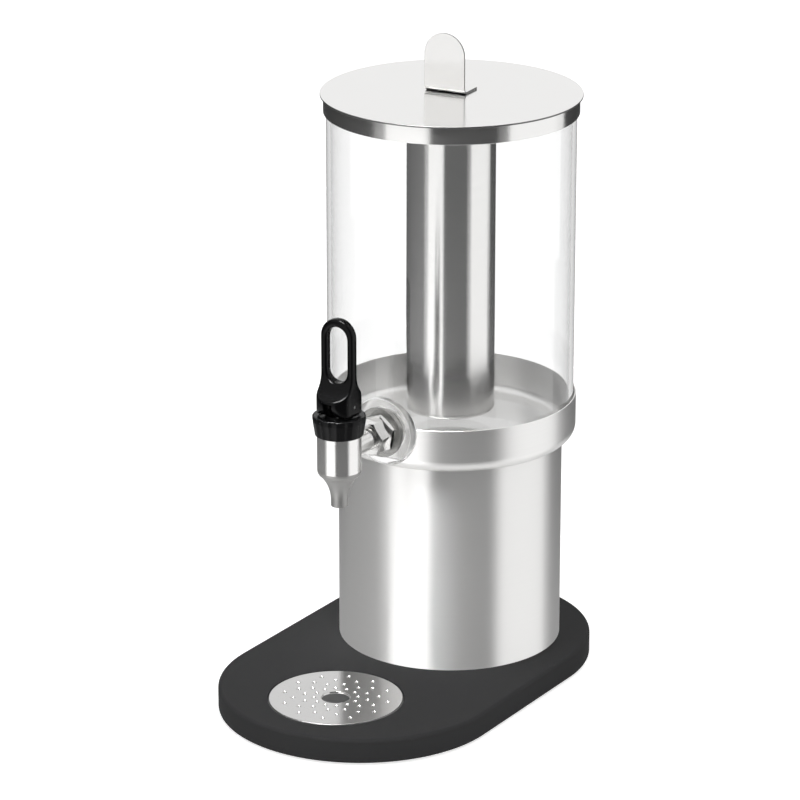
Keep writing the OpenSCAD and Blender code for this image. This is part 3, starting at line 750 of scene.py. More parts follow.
class DISPENSER_OT_board(bpy.types.Operator):
    """Model the long base board with its recess and the pockets under it"""

    bl_idname = "dispenser.board"
    bl_label = "Base board"

    def execute(self, context):
        sizes = context.scene.dispenser_base
        base, top = low("base_plate").z, high("base_plate").z
        radius = half_width("base_plate")
        end = high("base_plate").y - radius
        let_go()
        bpy.ops.mesh.primitive_cylinder_add(
            vertices=192, radius=radius, depth=top - base, location=(0, -end, (base + top) / 2)
        )
        board = named("board")
        edit_all(board)
        bpy.ops.mesh.bisect(plane_co=(0, -end, 0), plane_no=(0, 1, 0), clear_outer=True)
        close_edit()
        pick(board, "EDGE", lambda e: e.is_boundary)
        extrude((0, end, 0))
        close_edit()
        shape_with(
            board, "Other end", "MIRROR", use_axis=(False, True, False), merge_threshold=1e-5
        )
        edit(board)
        close_outwards()
        recess = half_width("drip_tray") + 0.4 * MM
        floor = low("drip_tray").z - 0.1 * MM
        tools = [rod("recess", recess, floor, 2 * top, DRIP_AXIS)]
        foot, foot_radius, foot_gap = high("rubber_feet"), 10 * MM, 0.1 * MM
        screw_ring, screw_pocket, screw_depth = 56 * MM, 5.5 * MM, 4.4 * MM
        for x in (-1, 1):
            for y in (-1, 1):
                centre = Vector((x * (foot.x - foot_radius), y * (foot.y - foot_radius), 0))
                tools.append(rod("pocket", foot_radius + foot_gap, -MM, foot.z, centre, sides=64))
                centre = JAR_AXIS + screw_ring * Vector((x, y, 0)) / math.sqrt(2)
                tools.append(rod("pocket", screw_pocket, -MM, screw_depth, centre, sides=48))
        cut(board, joined(tools))

        def on_outline(v):
            return max(abs(v.co.y) - end, 0) ** 2 + v.co.x**2 > (radius - MM) ** 2

        def on_recess(v):
            flat = (v.co - DRIP_AXIS).xy
            return abs(v.co.z - top) < 1e-5 and abs(flat.length - recess) < 1e-4

        bevel(
            board,
            sizes.board_edge,
            6,
            lambda e: len(e.link_faces) == 2
            and e.calc_face_angle(0) > 1.0
            and all(on_outline(v) for v in e.verts),
        )
        bevel(board, 0.5 * MM, 3, lambda e: all(on_recess(v) for v in e.verts))
        settle(board, "base", "board", "black_board", "base_plate")
        # The pedestal's steel mirrors the surround and not the base under it
        board.visible_glossy = False
        return {"FINISHED"}


class DISPENSER_OT_pedestal(bpy.types.Operator):
    """Model the brushed steel shell of the pedestal"""

    bl_idname = "dispenser.pedestal"
    bl_label = "Pedestal"

    def execute(self, context):
        sizes = context.scene.dispenser_base
        radius = half_width("pedestal_shell")
        base, top = low("pedestal_shell").z, high("pedestal_shell").z
        rings = tube_rings(radius, radius - sizes.shell, base, top, sizes.sheet_edge)
        shell = turned("pedestal", rings, JAR_AXIS, sides=192, bore=True)
        settle(shell, "base", "pedestal", "brushed_steel", "pedestal_shell")
        return {"FINISHED"}


class DISPENSER_OT_cup(bpy.types.Operator):
    """Model the steel cup with its rounded foot and the notch for the jar's boss"""

    bl_idname = "dispenser.cup"
    bl_label = "Cup"

    def execute(self, context):
        sizes = context.scene.dispenser_base
        radius = half_width("cup")
        base, rim = low("cup").z, high("cup").z
        edge, sheet, foot = sizes.sheet_edge, sizes.sheet, sizes.cup_round
        rings = (
            arc(radius - foot, base + foot, foot, -90, 0, 12)
            + arc(radius - edge, rim - edge, edge, 0, 90, 3)
            + arc(radius - sheet + edge, rim - edge, edge, 90, 180, 3)
            + arc(radius - foot, base + foot, foot - sheet, 0, -90, 12)
        )
        cup = turned("jar_cup", rings, JAR_AXIS, sides=192)
        past = 5 * MM
        above = rim + past - SHANK_AXIS.z
        outline = arc(0, 0, sizes.notch, 180, 360, 40)
        outline += [(sizes.notch, above), (-sizes.notch, above)]
        start = (0, JAR_AXIS.y - radius - past, SHANK_AXIS.z)
        cut(cup, drawn("notch", laid_out(outline, start), (0, radius / 2, 0)))
        settle(cup, "base", "cup", "brushed_steel", "cup")
        return {"FINISHED"}


class DISPENSER_OT_drip(bpy.types.Operator):
    """Model the perforated drip plate and the tray under it"""

    bl_idname = "dispenser.drip"
    bl_label = "Drip plate and tray"

    def execute(self, context):
        sizes = context.scene.dispenser_base
        radius = half_width("drip_plate")
        under, top = low("drip_plate").z, high("drip_plate").z
        sharp, soft, worn = 0.3 * MM, 0.5 * MM, 0.8 * MM
        rings = (
            arc(radius - sharp, under + sharp, sharp, -90, 0, 3)
            + arc(radius - worn, top - worn, worn, 0, 90, 5)
            + arc(sizes.finger + soft, top - soft, soft, 90, 180, 4)
            + arc(sizes.finger + sharp, under + sharp, sharp, 180, 270, 3)
        )
        plate = turned("drip_screen", rings, DRIP_AXIS, bore=True)
        let_go()
        # The turned-off edge is a cone that stands a little over the plate
        over, cone = 0.2 * MM, sizes.sink + 0.3 * MM
        holes, sinks = [], []
        for row in range(4):
            for i in range(12):
                angle = sizes.pattern_turn + math.radians(15 * (2 * i + row % 2))
                reach = sizes.first_row + row * sizes.row_step
                place = DRIP_AXIS + Vector((reach * math.cos(angle), reach * math.sin(angle), top))
                bpy.ops.mesh.primitive_cylinder_add(
                    vertices=20, radius=sizes.drain, depth=4 * (top - under), location=place
                )
                holes.append(bpy.context.active_object)
                bpy.ops.mesh.primitive_cone_add(
                    vertices=20,
                    radius1=sizes.drain - 0.1 * MM,
                    radius2=sizes.drain + sizes.sink + over,
                    depth=cone,
                    location=place + Vector((0, 0, over - cone / 2)),
                )
                sinks.append(bpy.context.active_object)
        cut(plate, joined(holes))
        cut(plate, joined(sinks))
        settle(plate, "drip_plate", "plate", "polished_steel", "drip_plate", angle=20)
        plate.visible_glossy = False

        # The plate's outer rim gets the darker steel: a painted shade line where its rounding
        # would mirror the light
        def on_rim(f):
            flat = (f.calc_center_median() - DRIP_AXIS).xy
            return flat.length > radius - worn and f.normal.z < 0.95

        dress(plate, "edge", on_rim)

        base, rim = low("drip_tray").z, high("drip_tray").z
        outer, wall, edge = half_width("drip_tray"), 1.4 * MM, 0.4 * MM
        rings = (
            arc(outer - wall, base + wall, wall, -90, 0, 4)
            + arc(outer - edge, rim - edge, edge, 0, 90, 3)
            + arc(outer - wall + edge, rim - edge, edge, 90, 180, 3)
            + arc(outer - 2 * wall, base + 2 * wall, wall, 0, -90, 4)
        )
        tray = turned("drip_basin", rings, DRIP_AXIS)
        settle(tray, "drip_tray", "tray", "black_tray", "drip_tray")
        tray.visible_glossy = False
        return {"FINISHED"}


class DISPENSER_OT_jar(bpy.types.Operator):
    """Model the clear jar with its boss, pad and hole for the tap"""

    bl_idname = "dispenser.jar"
    bl_label = "Jar"

    def execute(self, context):
        sizes = context.scene.dispenser_jar
        radius = half_width("jar")
        inner = radius - sizes.wall
        base, rim = low("jar").z, high("jar").z
        foot = context.scene.dispenser_base.cup_round - context.scene.dispenser_base.sheet
        rings = (
            arc(radius - foot, base + foot, foot, -90, 0, 12)
            + arc(radius - sizes.rim, rim - sizes.rim, sizes.rim, 0, 90, 4)
        )
        jar = turned("clear_jar", rings, JAR_AXIS, sides=224)

        at = JAR_AXIS + SHANK_AXIS
        face = JAR_AXIS.y - radius - sizes.boss_out
        back = JAR_AXIS.y - inner + sizes.boss_in
        edge = 0.8 * MM
        rings = arc(sizes.boss - edge, face + edge, edge, -90, 0, 4) + [(sizes.boss, back)]
        cut(jar, turned("boss", rings, at, along="Y", sides=128), "UNION")

        inside, floor = sizes.inner_round, base + sizes.floor
        rings = arc(inner - inside, floor + inside, inside, -90, 0, 6)
        rings += [(inner, rim - sizes.rim), (inner, rim + 5 * MM)]
        hollow = turned("hollow", rings, JAR_AXIS, sides=224)
        cut(hollow, rod("pad", sizes.pad, face, back, at, "Y", 96))
        cut(jar, hollow)
        cut(jar, rod("hole", sizes.hole, face - MM, back + MM, at, "Y", 64))
        settle(jar, "jar", "clear", "clear_plastic", "jar", angle=30)

        def on_boss_edge(f):
            place = f.calc_center_median()
            off_edge = (place - at).xz.length - sizes.boss + edge / 2
            return place.y < face + 2 * sizes.boss_out and abs(off_edge) < edge

        dress(jar, "frosted", on_boss_edge)
        return {"FINISHED"}


def hexagon_nut(name, node, flats, turn, bore):
    """A turned ring trimmed to a hexagon, with its corners broken."""
    centre = middle(node)
    front, back = low(node).y, high(node).y
    corner = flats / math.sqrt(3)
    slope = (corner - flats / 2) * 0.6
    narrow = flats / 2 + 0.2 * MM
    wide = flats / 2 + 2 * slope + 0.2 * MM
    rings = [
        (bore, front),
        (narrow, front),
        (wide, front + slope),
        (wide, back - slope),
        (narrow, back),
        (bore, back),
    ]
    ring = turned(name, rings, centre, along="Y", sides=120, bore=True)
    # The outline starts where the CAD's turned hexagon has its first corner
    turns = [math.radians(60 * i) + turn for i in range(6)]
    outline = [(corner * math.cos(a), -corner * math.sin(a)) for a in turns]
    start = (centre.x, front - MM, centre.z)
    tool = drawn("hexagon", laid_out(outline, start), (0, back - front + 2 * MM, 0))
    cut(ring, tool, "INTERSECT")
    bevel(
        ring,
        0.35 * MM,
        2,
        lambda e: abs((e.verts[0].co - e.verts[1].co).normalized().y) > 0.99
        and e.calc_face_angle(0) > 0.8,
    )
    return ring


class DISPENSER_OT_fittings(bpy.types.Operator):
    """Model the washers, nuts and the shank that hold the tap on the jar"""

    bl_idname = "dispenser.fittings"
    bl_label = "Washers, nuts and shank"

    def execute(self, context):
        sizes = context.scene.dispenser_tap
        shank = half_width("tap_shank")
        for name, node in (("front_washer", "outer_washer"), ("back_washer", "inner_washer")):
            rings = tube_rings(half_width(node), shank, low(node).y, high(node).y, 0.5 * MM)
            washer = turned(name, rings, middle(node), along="Y", sides=96, bore=True)
            settle(washer, "jar", "silicone", "silicone", node)
        for name, node, flats, turn in (
            ("thin_nut", "lock_nut", sizes.lock_flats, 40),
            ("front_nut", "tap_nut", sizes.nut_flats, -6),
            ("back_nut", "inner_nut", sizes.nut_flats, -6),
        ):
            nut = hexagon_nut(name, node, flats, math.radians(turn), shank)
            settle(nut, "jar", "bright", "polished_steel", node, angle=25)
        start, end = low("tap_shank").y, high("tap_shank").y
        bore, pitch, depth = 5.2 * MM, 1.34 * MM, 0.55 * MM
        # The thread is seen behind the inner nut only; a groove ends the plain part in front
        count = int((end - low("inner_nut").y) / pitch)
        threads = []
        for i in range(count):
            y = end - (count - i) * pitch
            threads += [(shank, y), (shank - depth, y + pitch / 2)]
        groove, groove_floor, slope = low("tap_nut").y - 0.6 * MM, shank - 0.7 * MM, 0.3 * MM
        rings = [
            (bore, start),
            (shank, start),
            (shank, groove),
            (groove_floor, groove + slope),
            (groove_floor, groove + 2 * slope),
            (shank, groove + 3 * slope),
            *threads,
            (shank - depth, end),
            (bore, end),
        ]
        piece = turned("threaded_shank", rings, middle("tap_shank"), "Y", sides=96, bore=True)
        settle(piece, "jar", "bright", "polished_steel", "tap_shank", angle=30)
        return {"FINISHED"}


class DISPENSER_OT_tap(bpy.types.Operator):
    """Model the tap's steel body with its spout and chamber"""

    bl_idname = "dispenser.tap"
    bl_label = "Tap body"

    def execute(self, context):
        sizes = context.scene.dispenser_tap
        radius = half_width("tap_body")
        base, top = low("tap_body").z, high("tap_body").z
        shoulder = low("bonnet").z
        curve, edge = sizes.taper_curve, 0.4 * MM
        sweep = math.degrees(math.acos((sizes.spout + curve - sizes.taper) / curve))
        barrel = SHANK_AXIS.z - sizes.barrel
        chamber = SHANK_AXIS.z - sizes.chamber + 3.2 * MM
        funnel, funnel_depth = sizes.spout_bore + 1.8 * MM, 0.8 * MM
        rings = (
            [(sizes.spout_bore, base + edge), (sizes.spout_bore + edge, base)]
            + arc(sizes.spout - edge, base + edge, edge, -90, 0, 3)
            + arc(sizes.spout + curve, base + sizes.spout_straight, curve, 180, 180 - sweep, 12)
            + arc(radius - sizes.barrel_round, barrel, sizes.barrel_round, -62, 0, 9)
            + [(radius, shoulder), (sizes.collar, shoulder), (sizes.collar, top)]
            + [(sizes.chamber, top), (sizes.chamber, chamber), (funnel, chamber)]
            + [(funnel, chamber + funnel_depth), (sizes.spout_bore, chamber + funnel_depth)]
        )
        body = turned("tap_barrel", rings, TAP_AXIS, sides=144, bore=True)
        behind = TAP_AXIS.y + radius + MM
        cut(body, rod("seat", half_width("tap_shank"), TAP_AXIS.y, behind, SHANK_AXIS, "Y", 96))
        settle(body, "jar", "tap", "polished_steel", "tap_body")
        dress(body, "spout", lambda f: f.calc_center_median().z < barrel)
        return {"FINISHED"}


class DISPENSER_OT_bonnet(bpy.types.Operator):
    """Model the black fluted bonnet"""

    bl_idname = "dispenser.bonnet"
    bl_label = "Bonnet"

    def execute(self, context):
        sizes = context.scene.dispenser_tap
        radius, foot = half_width("bonnet"), 16.9 * MM
        base, top = low("bonnet").z, high("bonnet").z
        roof = high("bonnet_gasket").z
        # The bonnet widens up to here, and its top has a dish round a raised land
        wide = base + 0.74 * (top - base)
        flank = math.degrees(math.atan2(radius - foot, wide - base))
        hole, land, dish, deep = 3.6 * MM, 9.5 * MM, 13.6 * MM, 1.6 * MM
        foot_edge, top_edge, dish_edge, land_edge = 0.6 * MM, 1.6 * MM, 0.5 * MM, 0.3 * MM
        rings = (
            [(sizes.collar, base)]
            + arc(foot - foot_edge, base + foot_edge, foot_edge, -90, -flank, 3)
            + arc(radius - MM, wide, MM, -flank, 0, 3)
            + arc(radius - top_edge, top - top_edge, top_edge, 0, 80, 6)
            + arc(dish + dish_edge, top - dish_edge, dish_edge, 90, 180, 4)
            + arc(dish - dish_edge, top - deep + dish_edge, dish_edge, 0, -90, 3)
            + [(land + land_edge, top - deep), (land, top - deep + land_edge)]
            + arc(land - land_edge, top - land_edge, land_edge, 0, 90, 3)
            + [(hole, top), (hole, roof), (sizes.collar, roof)]
        )
        sides, flute_sides, flute_round = 240, 24, 5 * MM
        bonnet = turned("fluted_bonnet", rings, TAP_AXIS, sides=sides, bore=True)
        # Each pass draws in the columns that lie the same way off the middle of a flute
        for column in range(7):
            off = radius * math.sin(2 * math.pi * column / sides)
            depth = sizes.flute - (flute_round - math.sqrt(max(flute_round**2 - off**2, 0)))
            if depth <= 0:
                break

            def in_column(v, column=column):
                flat = (v.co - TAP_AXIS).xy
                if flat.length < 15.2 * MM or v.co.z < base + 2 * MM:
                    return False
                turn = math.atan2(flat.y, flat.x) / (2 * math.pi) * sides
                near = abs((turn + flute_sides / 2) % flute_sides - flute_sides / 2)
                return abs(near - column) < 0.3

            pick(bonnet, "VERT", in_column)
            share = 1 - depth / radius
            bpy.ops.transform.resize(value=(share, share, 1), center_override=TAP_AXIS)
            close_edit()
        settle(bonnet, "jar", "bonnet", "black_gloss", "bonnet", angle=50)
        return {"FINISHED"}


class DISPENSER_OT_lever(bpy.types.Operator):
    """Model the black lever with its loop, rolling heels and front slot"""

    bl_idname = "dispenser.lever"
    bl_label = "Lever"

    def execute(self, context):
        sizes = context.scene.dispenser_tap
        half = half_width("tap_lever")
        top = high("tap_lever").z
        height = top - PIN.z
        depth = sizes.heel + sizes.heel_rate * math.pi / 2
        clip = depth + 0.1 * MM

        def heel(a):
            reach = sizes.heel + sizes.heel_rate * a
            return (
                reach * math.sin(a) + sizes.heel_rate * math.cos(a),
                -reach * math.cos(a) + sizes.heel_rate * math.sin(a),
            )

        # The side view: a heel that rolls, a hollow above it and the loop's flank
        heels = [heel(math.pi / 2 * i / 16) for i in range(17)]
        cove_reach = sizes.loop / 2 + sizes.cove
        widest = -math.acos((cove_reach - depth) / sizes.cove)
        cove_at = heels[-1][1] + sizes.cove_low - sizes.cove * math.sin(widest)
        cove = arc(cove_reach, cove_at, sizes.cove, 180 - math.degrees(widest), 180, 24)
        side = heels + cove + [(sizes.loop / 2, height)]
        outline = [(-y, z) for y, z in side] + [(y, z) for y, z in reversed(side)]
        wide = half + 2 * MM
        lever = drawn(
            "lever_loop", laid_out(outline, (-wide, PIN.y, PIN.z), "Y"), (2 * wide, 0, 0)
        )

        # The front view: a rounded top, trimmed round below by the heels' reach
        under = -sizes.heel - 2 * MM
        front = [(-half, under)] + arc(0, height - half, half, 180, 0, 48) + [(half, under)]
        front = laid_out(front, (0, PIN.y - clip - MM, PIN.z))
        cut(lever, drawn("front", front, (0, 2 * clip + 2 * MM, 0)), "INTERSECT")
        past = 10 * MM
        cut(lever, rod("round", clip, PIN.z - past, top + past, TAP_AXIS), "INTERSECT")

        # The long hole in the loop
        radius = sizes.hole / 2
        bar = half - radius + 0.9 * MM
        stadium = (
            arc(0, sizes.hole_low + radius, radius, 180, 360, 32)
            + arc(0, height - bar - radius, radius, 0, 180, 32)
        )
        reach = 20 * MM
        stadium = laid_out(stadium, (0, PIN.y - reach, PIN.z))
        cut(lever, drawn("hole", stadium, (0, 2 * reach, 0)))
        shape_with(lever, "Soft edges", "REMESH", mode="VOXEL", voxel_size=0.48 * MM)
        shape_with(lever, "Calm surface", "SMOOTH", factor=0.5, iterations=72)
        filled(lever, "tap_lever")

        # The slot for the stem's head and the hole for the pin are cut sharp at the end
        slot_round, past = 4.15 * MM, 30 * MM
        slot = [(-past, -past), (slot_round, -past)]
        slot += arc(0, 0, slot_round, 0, 90, 10) + [(-past, slot_round)]
        slot = laid_out(slot, (-sizes.slot / 2, PIN.y, PIN.z), "Y")
        cut(lever, drawn("slot", slot, (sizes.slot, 0, 0)))
        let_go()
        bpy.ops.mesh.primitive_cylinder_add(
            vertices=48,
            radius=1.5 * MM,
            depth=4 * half,
            location=PIN,
            rotation=(0, math.pi / 2, 0),
        )
        cut(lever, named("pin_hole"))
        settle(lever, "lever", "black", "black_gloss", "tap_lever", angle=60)
        return {"FINISHED"}


class DISPENSER_OT_lid(bpy.types.Operator):
    """Model the lid's disc, its skirt and its bent handle"""

    bl_idname = "dispenser.lid"
    bl_label = "Lid"

    def execute(self, context):
        sizes = context.scene.dispenser_lid
        sheet = context.scene.dispenser_base.sheet
        radius = half_width("lid_disc")
        rings = disc_rings(radius, low("lid_disc").z, high("lid_disc").z, 0.4 * MM)
        disc = turned("lid_plate", rings, JAR_AXIS, sides=192)
        settle(disc, "lid", "lid", "brushed_steel", "lid_disc")
        # The disc's upright rim gets the darker steel: a painted shade line between the top and
        # the skirt
        dress(disc, "edge", lambda f: abs(f.normal.z) < 0.8)

        radius = half_width("lid_skirt")
        base, top = low("lid_skirt").z, high("lid_skirt").z
        rings = tube_rings(radius, radius - sheet, base, top, 0.3 * MM)
        skirt = turned("lid_band", rings, JAR_AXIS, sides=192, bore=True)
        settle(skirt, "lid", "sheet", "brushed_steel", "lid_skirt")

        # The handle is a bent strip, cut to a round end, on the lid as it lies turned
        base = low("lid_handle").z
        height = high("lid_handle").z - base
        half = sizes.handle_width / 2
        bend, thick = sizes.bend, sizes.handle
        side = (
            [(0, height), (0, bend)]
            + arc(bend, bend, bend, 180, 270, 8)[1:]
            + [(sizes.handle_foot, 0), (sizes.handle_foot, thick)]
            + arc(bend, bend, bend - thick, 270, 180, 6)
            + [(thick, height)]
        )
        side = laid_out(side, (-half, -sizes.front, base), "Y")
        handle = drawn("lid_tab", side, (2 * half, 0, 0))
        reach = 30 * MM
        front = [(-half, -MM)] + arc(0, height - half, half, 180, 0, 48) + [(half, -MM)]
        front = laid_out(front, (0, -reach, base))
        cut(handle, drawn("front", front, (0, 2 * reach, 0)), "INTERSECT")
        bevel(handle, 0.25 * MM, 2, lambda e: e.calc_face_angle(0) > 1.2)
        handle.rotation_euler = (0, 0, sizes.turn)
        shift = Vector((sizes.shift, 0, 0))
        shift.rotate(handle.rotation_euler)
        handle.location = JAR_AXIS + shift
        only(handle)
        bpy.ops.object.transform_apply(location=True, rotation=True, scale=True)
        settle(handle, "lid", "lid", "brushed_steel", "lid_handle", angle=30)

        # Faces turned down under the bend get the darker steel as painted shade, and the strip's
        # small cut edges take it too
        def under_bend_and_cut_edges(f):
            return f.normal.z < -0.3 or (abs(f.normal.y) < 0.5 and f.calc_area() < 1e-5)

        dress(handle, "edge", under_bend_and_cut_edges)
        return {"FINISHED"}


class DISPENSER_OT_ice_tube(bpy.types.Operator):
    """Model the steel ice tube and the cap that closes its lower end"""

    bl_idname = "dispenser.ice_tube"
    bl_label = "Ice tube"

    def execute(self, context):
        wall = context.scene.dispenser_jar.tube_wall
        radius = half_width("ice_tube")
        seam, rim = low("ice_tube").z, high("ice_tube").z
        edge = 0.2 * MM
        rings = tube_rings(radius, radius - wall, seam, rim, edge)
        tube = turned("ice_sleeve", rings, JAR_AXIS, bore=True)
        settle(tube, "ice_tube", "tube", "brushed_steel", "ice_tube")

        base, top = low("ice_tube_cap").z, high("ice_tube_cap").z
        foot, floor = 1.5 * MM, 2 * MM
        plug = radius - wall - 0.1 * MM
        rings = (
            arc(radius - foot, base + foot, foot, -90, 0, 6)
            + arc(radius - edge, seam - edge, edge, 0, 90, 2)
            + [(plug, seam), (plug, top), (plug - floor, top), (plug - floor, base + floor)]
        )
        cap = turned("ice_sleeve_cap", rings, JAR_AXIS)
        settle(cap, "ice_tube", "tube", "brushed_steel", "ice_tube_cap")
        return {"FINISHED"}


class DISPENSER_OT_small_parts(bpy.types.Operator):
    """Smooth and finish the small parts and those inside"""

    bl_idname = "dispenser.small_parts"
    bl_label = "Small and inner parts"

    PARTS = {
        "rubber_feet": ("rubber", "black_rubber"),
        "foot_screws": ("screw", "screw_steel"),
        "base_screws": ("screw", "screw_steel"),
        "pedestal_foot": ("casting", "grey_casting"),
        "pedestal_top": ("casting", "grey_casting"),
        "bonnet_gasket": ("silicone", "silicone"),
        "valve_stem": ("bright", "polished_steel"),
        "seat_cup": ("silicone", "silicone"),
        "stem_spring": ("screw", "spring_steel"),
        "lever_pin": ("screw", "screw_steel"),
        "lid_gasket": ("silicone", "silicone"),
        "tube_socket": ("bright", "polished_steel"),
        "socket_ring": ("rubber", "black_rubber"),
    }

    def execute(self, context):
        for node, (finish, slot) in self.PARTS.items():
            source = frame["nodes"][node]
            piece = source.copy()
            piece.data = source.data.copy()
            piece.name = piece.data.name = node + "_smooth"
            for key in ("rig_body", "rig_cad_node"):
                if key in piece:
                    del piece[key]
            context.scene.collection.objects.link(piece)
            piece.parent = None
            edit_all(piece, "VERT")
            bpy.ops.mesh.remove_doubles(threshold=MERGE)
            close_edit()
            settle(piece, source["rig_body"], finish, slot, node)
            if node == "stem_spring":
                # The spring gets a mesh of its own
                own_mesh(piece)
        return {"FINISHED"}


# Stage


WHITE = (1.0, 1.0, 1.0, 1.0)


def lit_card(name, strength, foot_strength):
    """A card or softbox for reflections, whose light changes from its foot upwards.

    Light that is reflected inside a clear wall sees white in its place.
    """
    card, tree = new_material(name)
    tree.nodes.remove(tree.nodes["Principled BSDF"])
    place = tree.nodes.new("ShaderNodeNewGeometry")
    height = tree.nodes.new("ShaderNodeSeparateXYZ")
    feed(tree, height.inputs[0], place.outputs["Position"])
    fade = tree.nodes.new("ShaderNodeMapRange")
    fade.interpolation_type = "SMOOTHSTEP"
    for label, value in (
        ("Value", height.outputs["Z"]),
        ("From Min", -1.2),
        ("From Max", -0.42),
        ("To Min", foot_strength),
        ("To Max", strength),
    ):
        feed(tree, fade.inputs[label], value)
    ray = tree.nodes.new("ShaderNodeLightPath").outputs
    inside = math_node(tree, "MODULO", ray["Transmission Depth"], 2.0)
    outside = math_node(tree, "SUBTRACT", 1.0, inside)
    light = tree.nodes.new("ShaderNodeEmission")
    feed(tree, light.inputs["Color"], WHITE)
    feed(tree, light.inputs["Strength"], spread(tree, inside, fade.outputs[0], outside))
    feed(tree, tree.nodes["Material Output"].inputs["Surface"], light.outputs[0])
    return card


class DISPENSER_OT_stage(bpy.types.Operator):
    """Set up the floor, the reflected cards, the lamps, the room light and the camera"""

    bl_idname = "dispenser.stage"
    bl_label = "Stage"

    CAMERA_PLACE = (1.43217, -2.27437, 1.15485)
    CAMERA_TURN = (70.689, 0.0, 32.305)
    LENS, SENSOR = 181.55, 36.0

    # Each tier of the surround: its lowest and highest edge, and the plan angles from the
    # camera's side where the left softbox, the dark middle, the right softbox and the dark
    # right side start
    TIERS = (
        (-2.4, -0.66, -67, -22, 50, 113.5),
        (-0.66, -0.62, -70, -21, 56, 115),
        (-0.62, -0.4, -74, -20, 43, 110),
        (-0.4, 0.1, -61, -19, 52.5, 118),
        (0.1, 2.6, -74, -22, 50, 116),
    )
    # The dark cards at the sides end at this height, so that the lid mirrors the room
    SIDE_TOP = 1.2
    # The top tier is open at the back past this plan angle, for the same reason
    BACK_OPENING = 150
    CARD_STEP = 6

    # Name, place, width and share of the lamp's power
    LAMPS = (
        ("Overhead lamp", (0.2, -0.5, 2.2), 1.8, 1.0),
        ("Front lamp", (-1.6, -2.0, 1.6), 1.6, 1.3),
        ("Right lamp", (2.2, -0.6, 1.4), 1.6, 0.6),
    )
    LAMP_AIM = Vector((0, 0, 0.2))

    def execute(self, context):
        stage = context.scene.dispenser_stage
        camera = bpy.data.cameras.new("Camera")
        camera.lens, camera.sensor_width = self.LENS, self.SENSOR
        view = bpy.data.objects.new("Camera", camera)
        context.scene.collection.objects.link(view)
        view.location = self.CAMERA_PLACE
        view.rotation_euler = [math.radians(a) for a in self.CAMERA_TURN]
        context.scene.camera = view

        let_go()
        bpy.ops.mesh.primitive_plane_add(size=9.0, location=(0, 0, -0.2 * MM))
        floor = named("floor")
        floor.data.materials.append(self.floor_finish())
        floor.visible_glossy = False

        self.surround(stage)
        let_go()
        bpy.ops.mesh.primitive_plane_add(size=0.9, location=(-0.165, -0.73, 2.2))
        self.show_in_steel_only(named("overhead_softbox"), stage.overhead, stage.overhead)

        for name, place, width, share in self.LAMPS:
            lamp = bpy.data.lights.new(name, "AREA")
            lamp.size, lamp.energy = width, stage.lamp * share
            light = bpy.data.objects.new(name, lamp)
            context.scene.collection.objects.link(light)
            light.location = place
            aim = self.LAMP_AIM - light.location
            light.rotation_euler = aim.to_track_quat("-Z", "Y").to_euler()
            light.visible_glossy = False
        self.room(context, stage.world)
        context.scene.view_settings.view_transform = "Standard"
        return {"FINISHED"}

    def surround(self, stage):
        """Stand light and dark cards round the object, tier by tier."""
        to_camera = math.atan2(self.CAMERA_PLACE[0], -self.CAMERA_PLACE[1])
        reach = stage.surround
        dark, left, right = stage.dark, stage.left, stage.right
        for bottom, top, left_start, middle_start, right_start, right_end in self.TIERS:
            side_top = min(top, self.SIDE_TOP)
            back = self.BACK_OPENING if bottom > 0 else 180
            for name, start, end, card_top, light, foot_light in (
                ("left_dark", -back, left_start, side_top, dark, stage.dark_foot),
                ("left_softbox", left_start, middle_start, top, left, stage.left_foot),
                ("middle_dark", middle_start, right_start, top, dark, stage.middle_foot),
                ("right_softbox", right_start, right_end, top, right, stage.right_foot),
                ("right_dark", right_end, back, side_top, dark, stage.dark_foot),
            ):
                steps = max(2, round((end - start) / self.CARD_STEP))
                points = []
                for i in range(steps + 1):
                    a = to_camera + math.radians(start + (end - start) * i / steps)
                    points.append(Vector((math.sin(a) * reach, -math.cos(a) * reach, bottom)))
                card = line_through(name, points)
                extrude((0, 0, card_top - bottom))
                close_edit()
                self.show_in_steel_only(card, light, foot_light)

    def show_in_steel_only(self, card, light, foot_light):
        """Light a card and hide it from all but reflections."""
        card.data.materials.append(lit_card(card.name, light, foot_light))
        card.visible_camera = card.visible_diffuse = card.visible_shadow = False
        card.visible_transmission = card.visible_volume_scatter = False

    def floor_finish(self):
        """White for the camera and in clear pieces, and still shaded by what stands on it."""
        finish, tree = new_material("White floor")
        ray = tree.nodes.new("ShaderNodeLightPath").outputs
        seen = math_node(tree, "MULTIPLY", ray["Is Camera Ray"], 0.7)
        through = math_node(tree, "MULTIPLY", ray["Is Transmission Ray"], 0.58)
        shader = tree.nodes["Principled BSDF"]
        for label, value in (
            ("Base Color", (0.8, 0.8, 0.8, 1.0)),
            ("Roughness", 0.6),
            ("Specular IOR Level", 0.1),
            ("Emission Color", WHITE),
            ("Emission Strength", math_node(tree, "MAXIMUM", seen, through)),
        ):
            feed(tree, shader.inputs[label], value)
        return finish

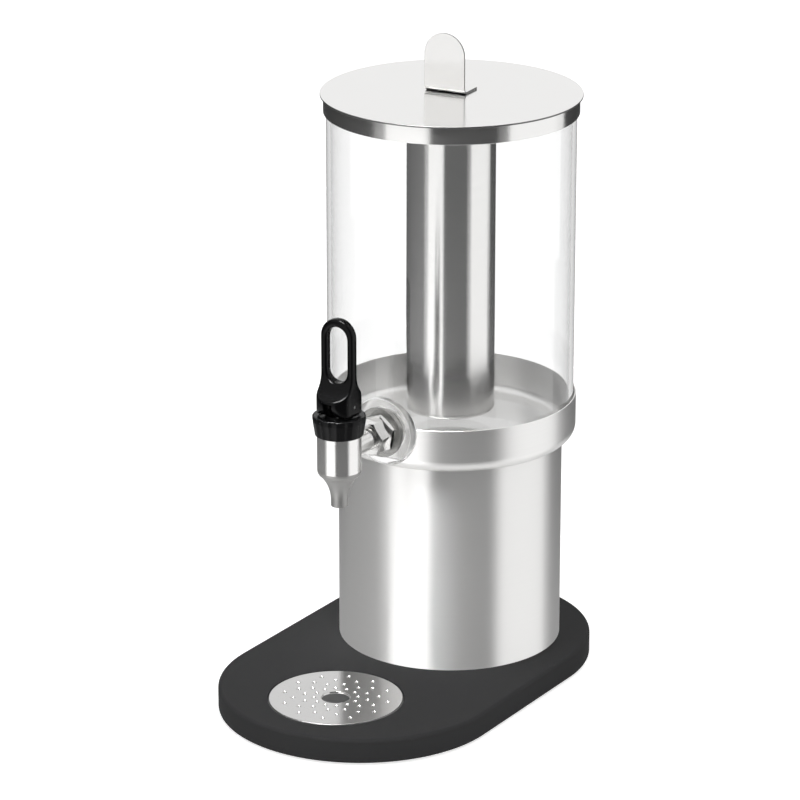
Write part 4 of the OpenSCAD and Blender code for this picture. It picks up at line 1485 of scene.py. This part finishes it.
    def room(self, context, strength):
        """Soft grey light all round that shows as white behind the object and in reflections."""
        world = bpy.data.worlds.new("Room")
        context.scene.world = world
        world.use_nodes = True
        tree = world.node_tree
        ray = tree.nodes.new("ShaderNodeLightPath").outputs
        seen = math_node(tree, "MAXIMUM", ray["Is Camera Ray"], ray["Is Transmission Ray"])
        seen = math_node(tree, "MAXIMUM", seen, ray["Is Glossy Ray"])
        back = tree.nodes["Background"]
        feed(tree, back.inputs["Color"], WHITE)
        feed(tree, back.inputs["Strength"], spread(tree, strength, seen, 1.0 - strength))


class DISPENSER_PT_panel(bpy.types.Panel):
    """Lists the pieces, their sizes and their colours"""

    bl_idname = "DISPENSER_PT_panel"
    bl_label = "Drink dispenser"
    bl_space_type = "VIEW_3D"
    bl_region_type = "UI"
    bl_category = "Dispenser"

    def draw(self, context):
        layout = self.layout
        for operator in OPERATORS:
            layout.operator(operator.bl_idname)
        for name, _ in GROUPS:
            settings = getattr(context.scene, name)
            box = layout.box()
            for key in settings.__annotations__:
                box.prop(settings, key)


GROUPS = (
    ("dispenser_base", DispenserBaseSizes),
    ("dispenser_jar", DispenserJarSizes),
    ("dispenser_tap", DispenserTapSizes),
    ("dispenser_lid", DispenserLidSizes),
    ("dispenser_colors", DispenserColors),
    ("dispenser_stage", DispenserStage),
)
OPERATORS = (
    DISPENSER_OT_finishes,
    DISPENSER_OT_board,
    DISPENSER_OT_pedestal,
    DISPENSER_OT_cup,
    DISPENSER_OT_drip,
    DISPENSER_OT_jar,
    DISPENSER_OT_fittings,
    DISPENSER_OT_tap,
    DISPENSER_OT_bonnet,
    DISPENSER_OT_lever,
    DISPENSER_OT_lid,
    DISPENSER_OT_ice_tube,
    DISPENSER_OT_small_parts,
    DISPENSER_OT_stage,
)


def register():
    for name, group in GROUPS:
        bpy.utils.register_class(group)
        setattr(bpy.types.Scene, name, bpy.props.PointerProperty(type=group))
    for operator in OPERATORS:
        bpy.utils.register_class(operator)
    bpy.utils.register_class(DISPENSER_PT_panel)


def unregister():
    bpy.utils.unregister_class(DISPENSER_PT_panel)
    for operator in reversed(OPERATORS):
        bpy.utils.unregister_class(operator)
    for name, group in reversed(GROUPS):
        delattr(bpy.types.Scene, name)
        bpy.utils.unregister_class(group)


def main():
    register()
    for operator in OPERATORS:
        family, action = operator.bl_idname.split(".")
        getattr(getattr(bpy.ops, family), action)()


if __name__ == "__main__":
    main()
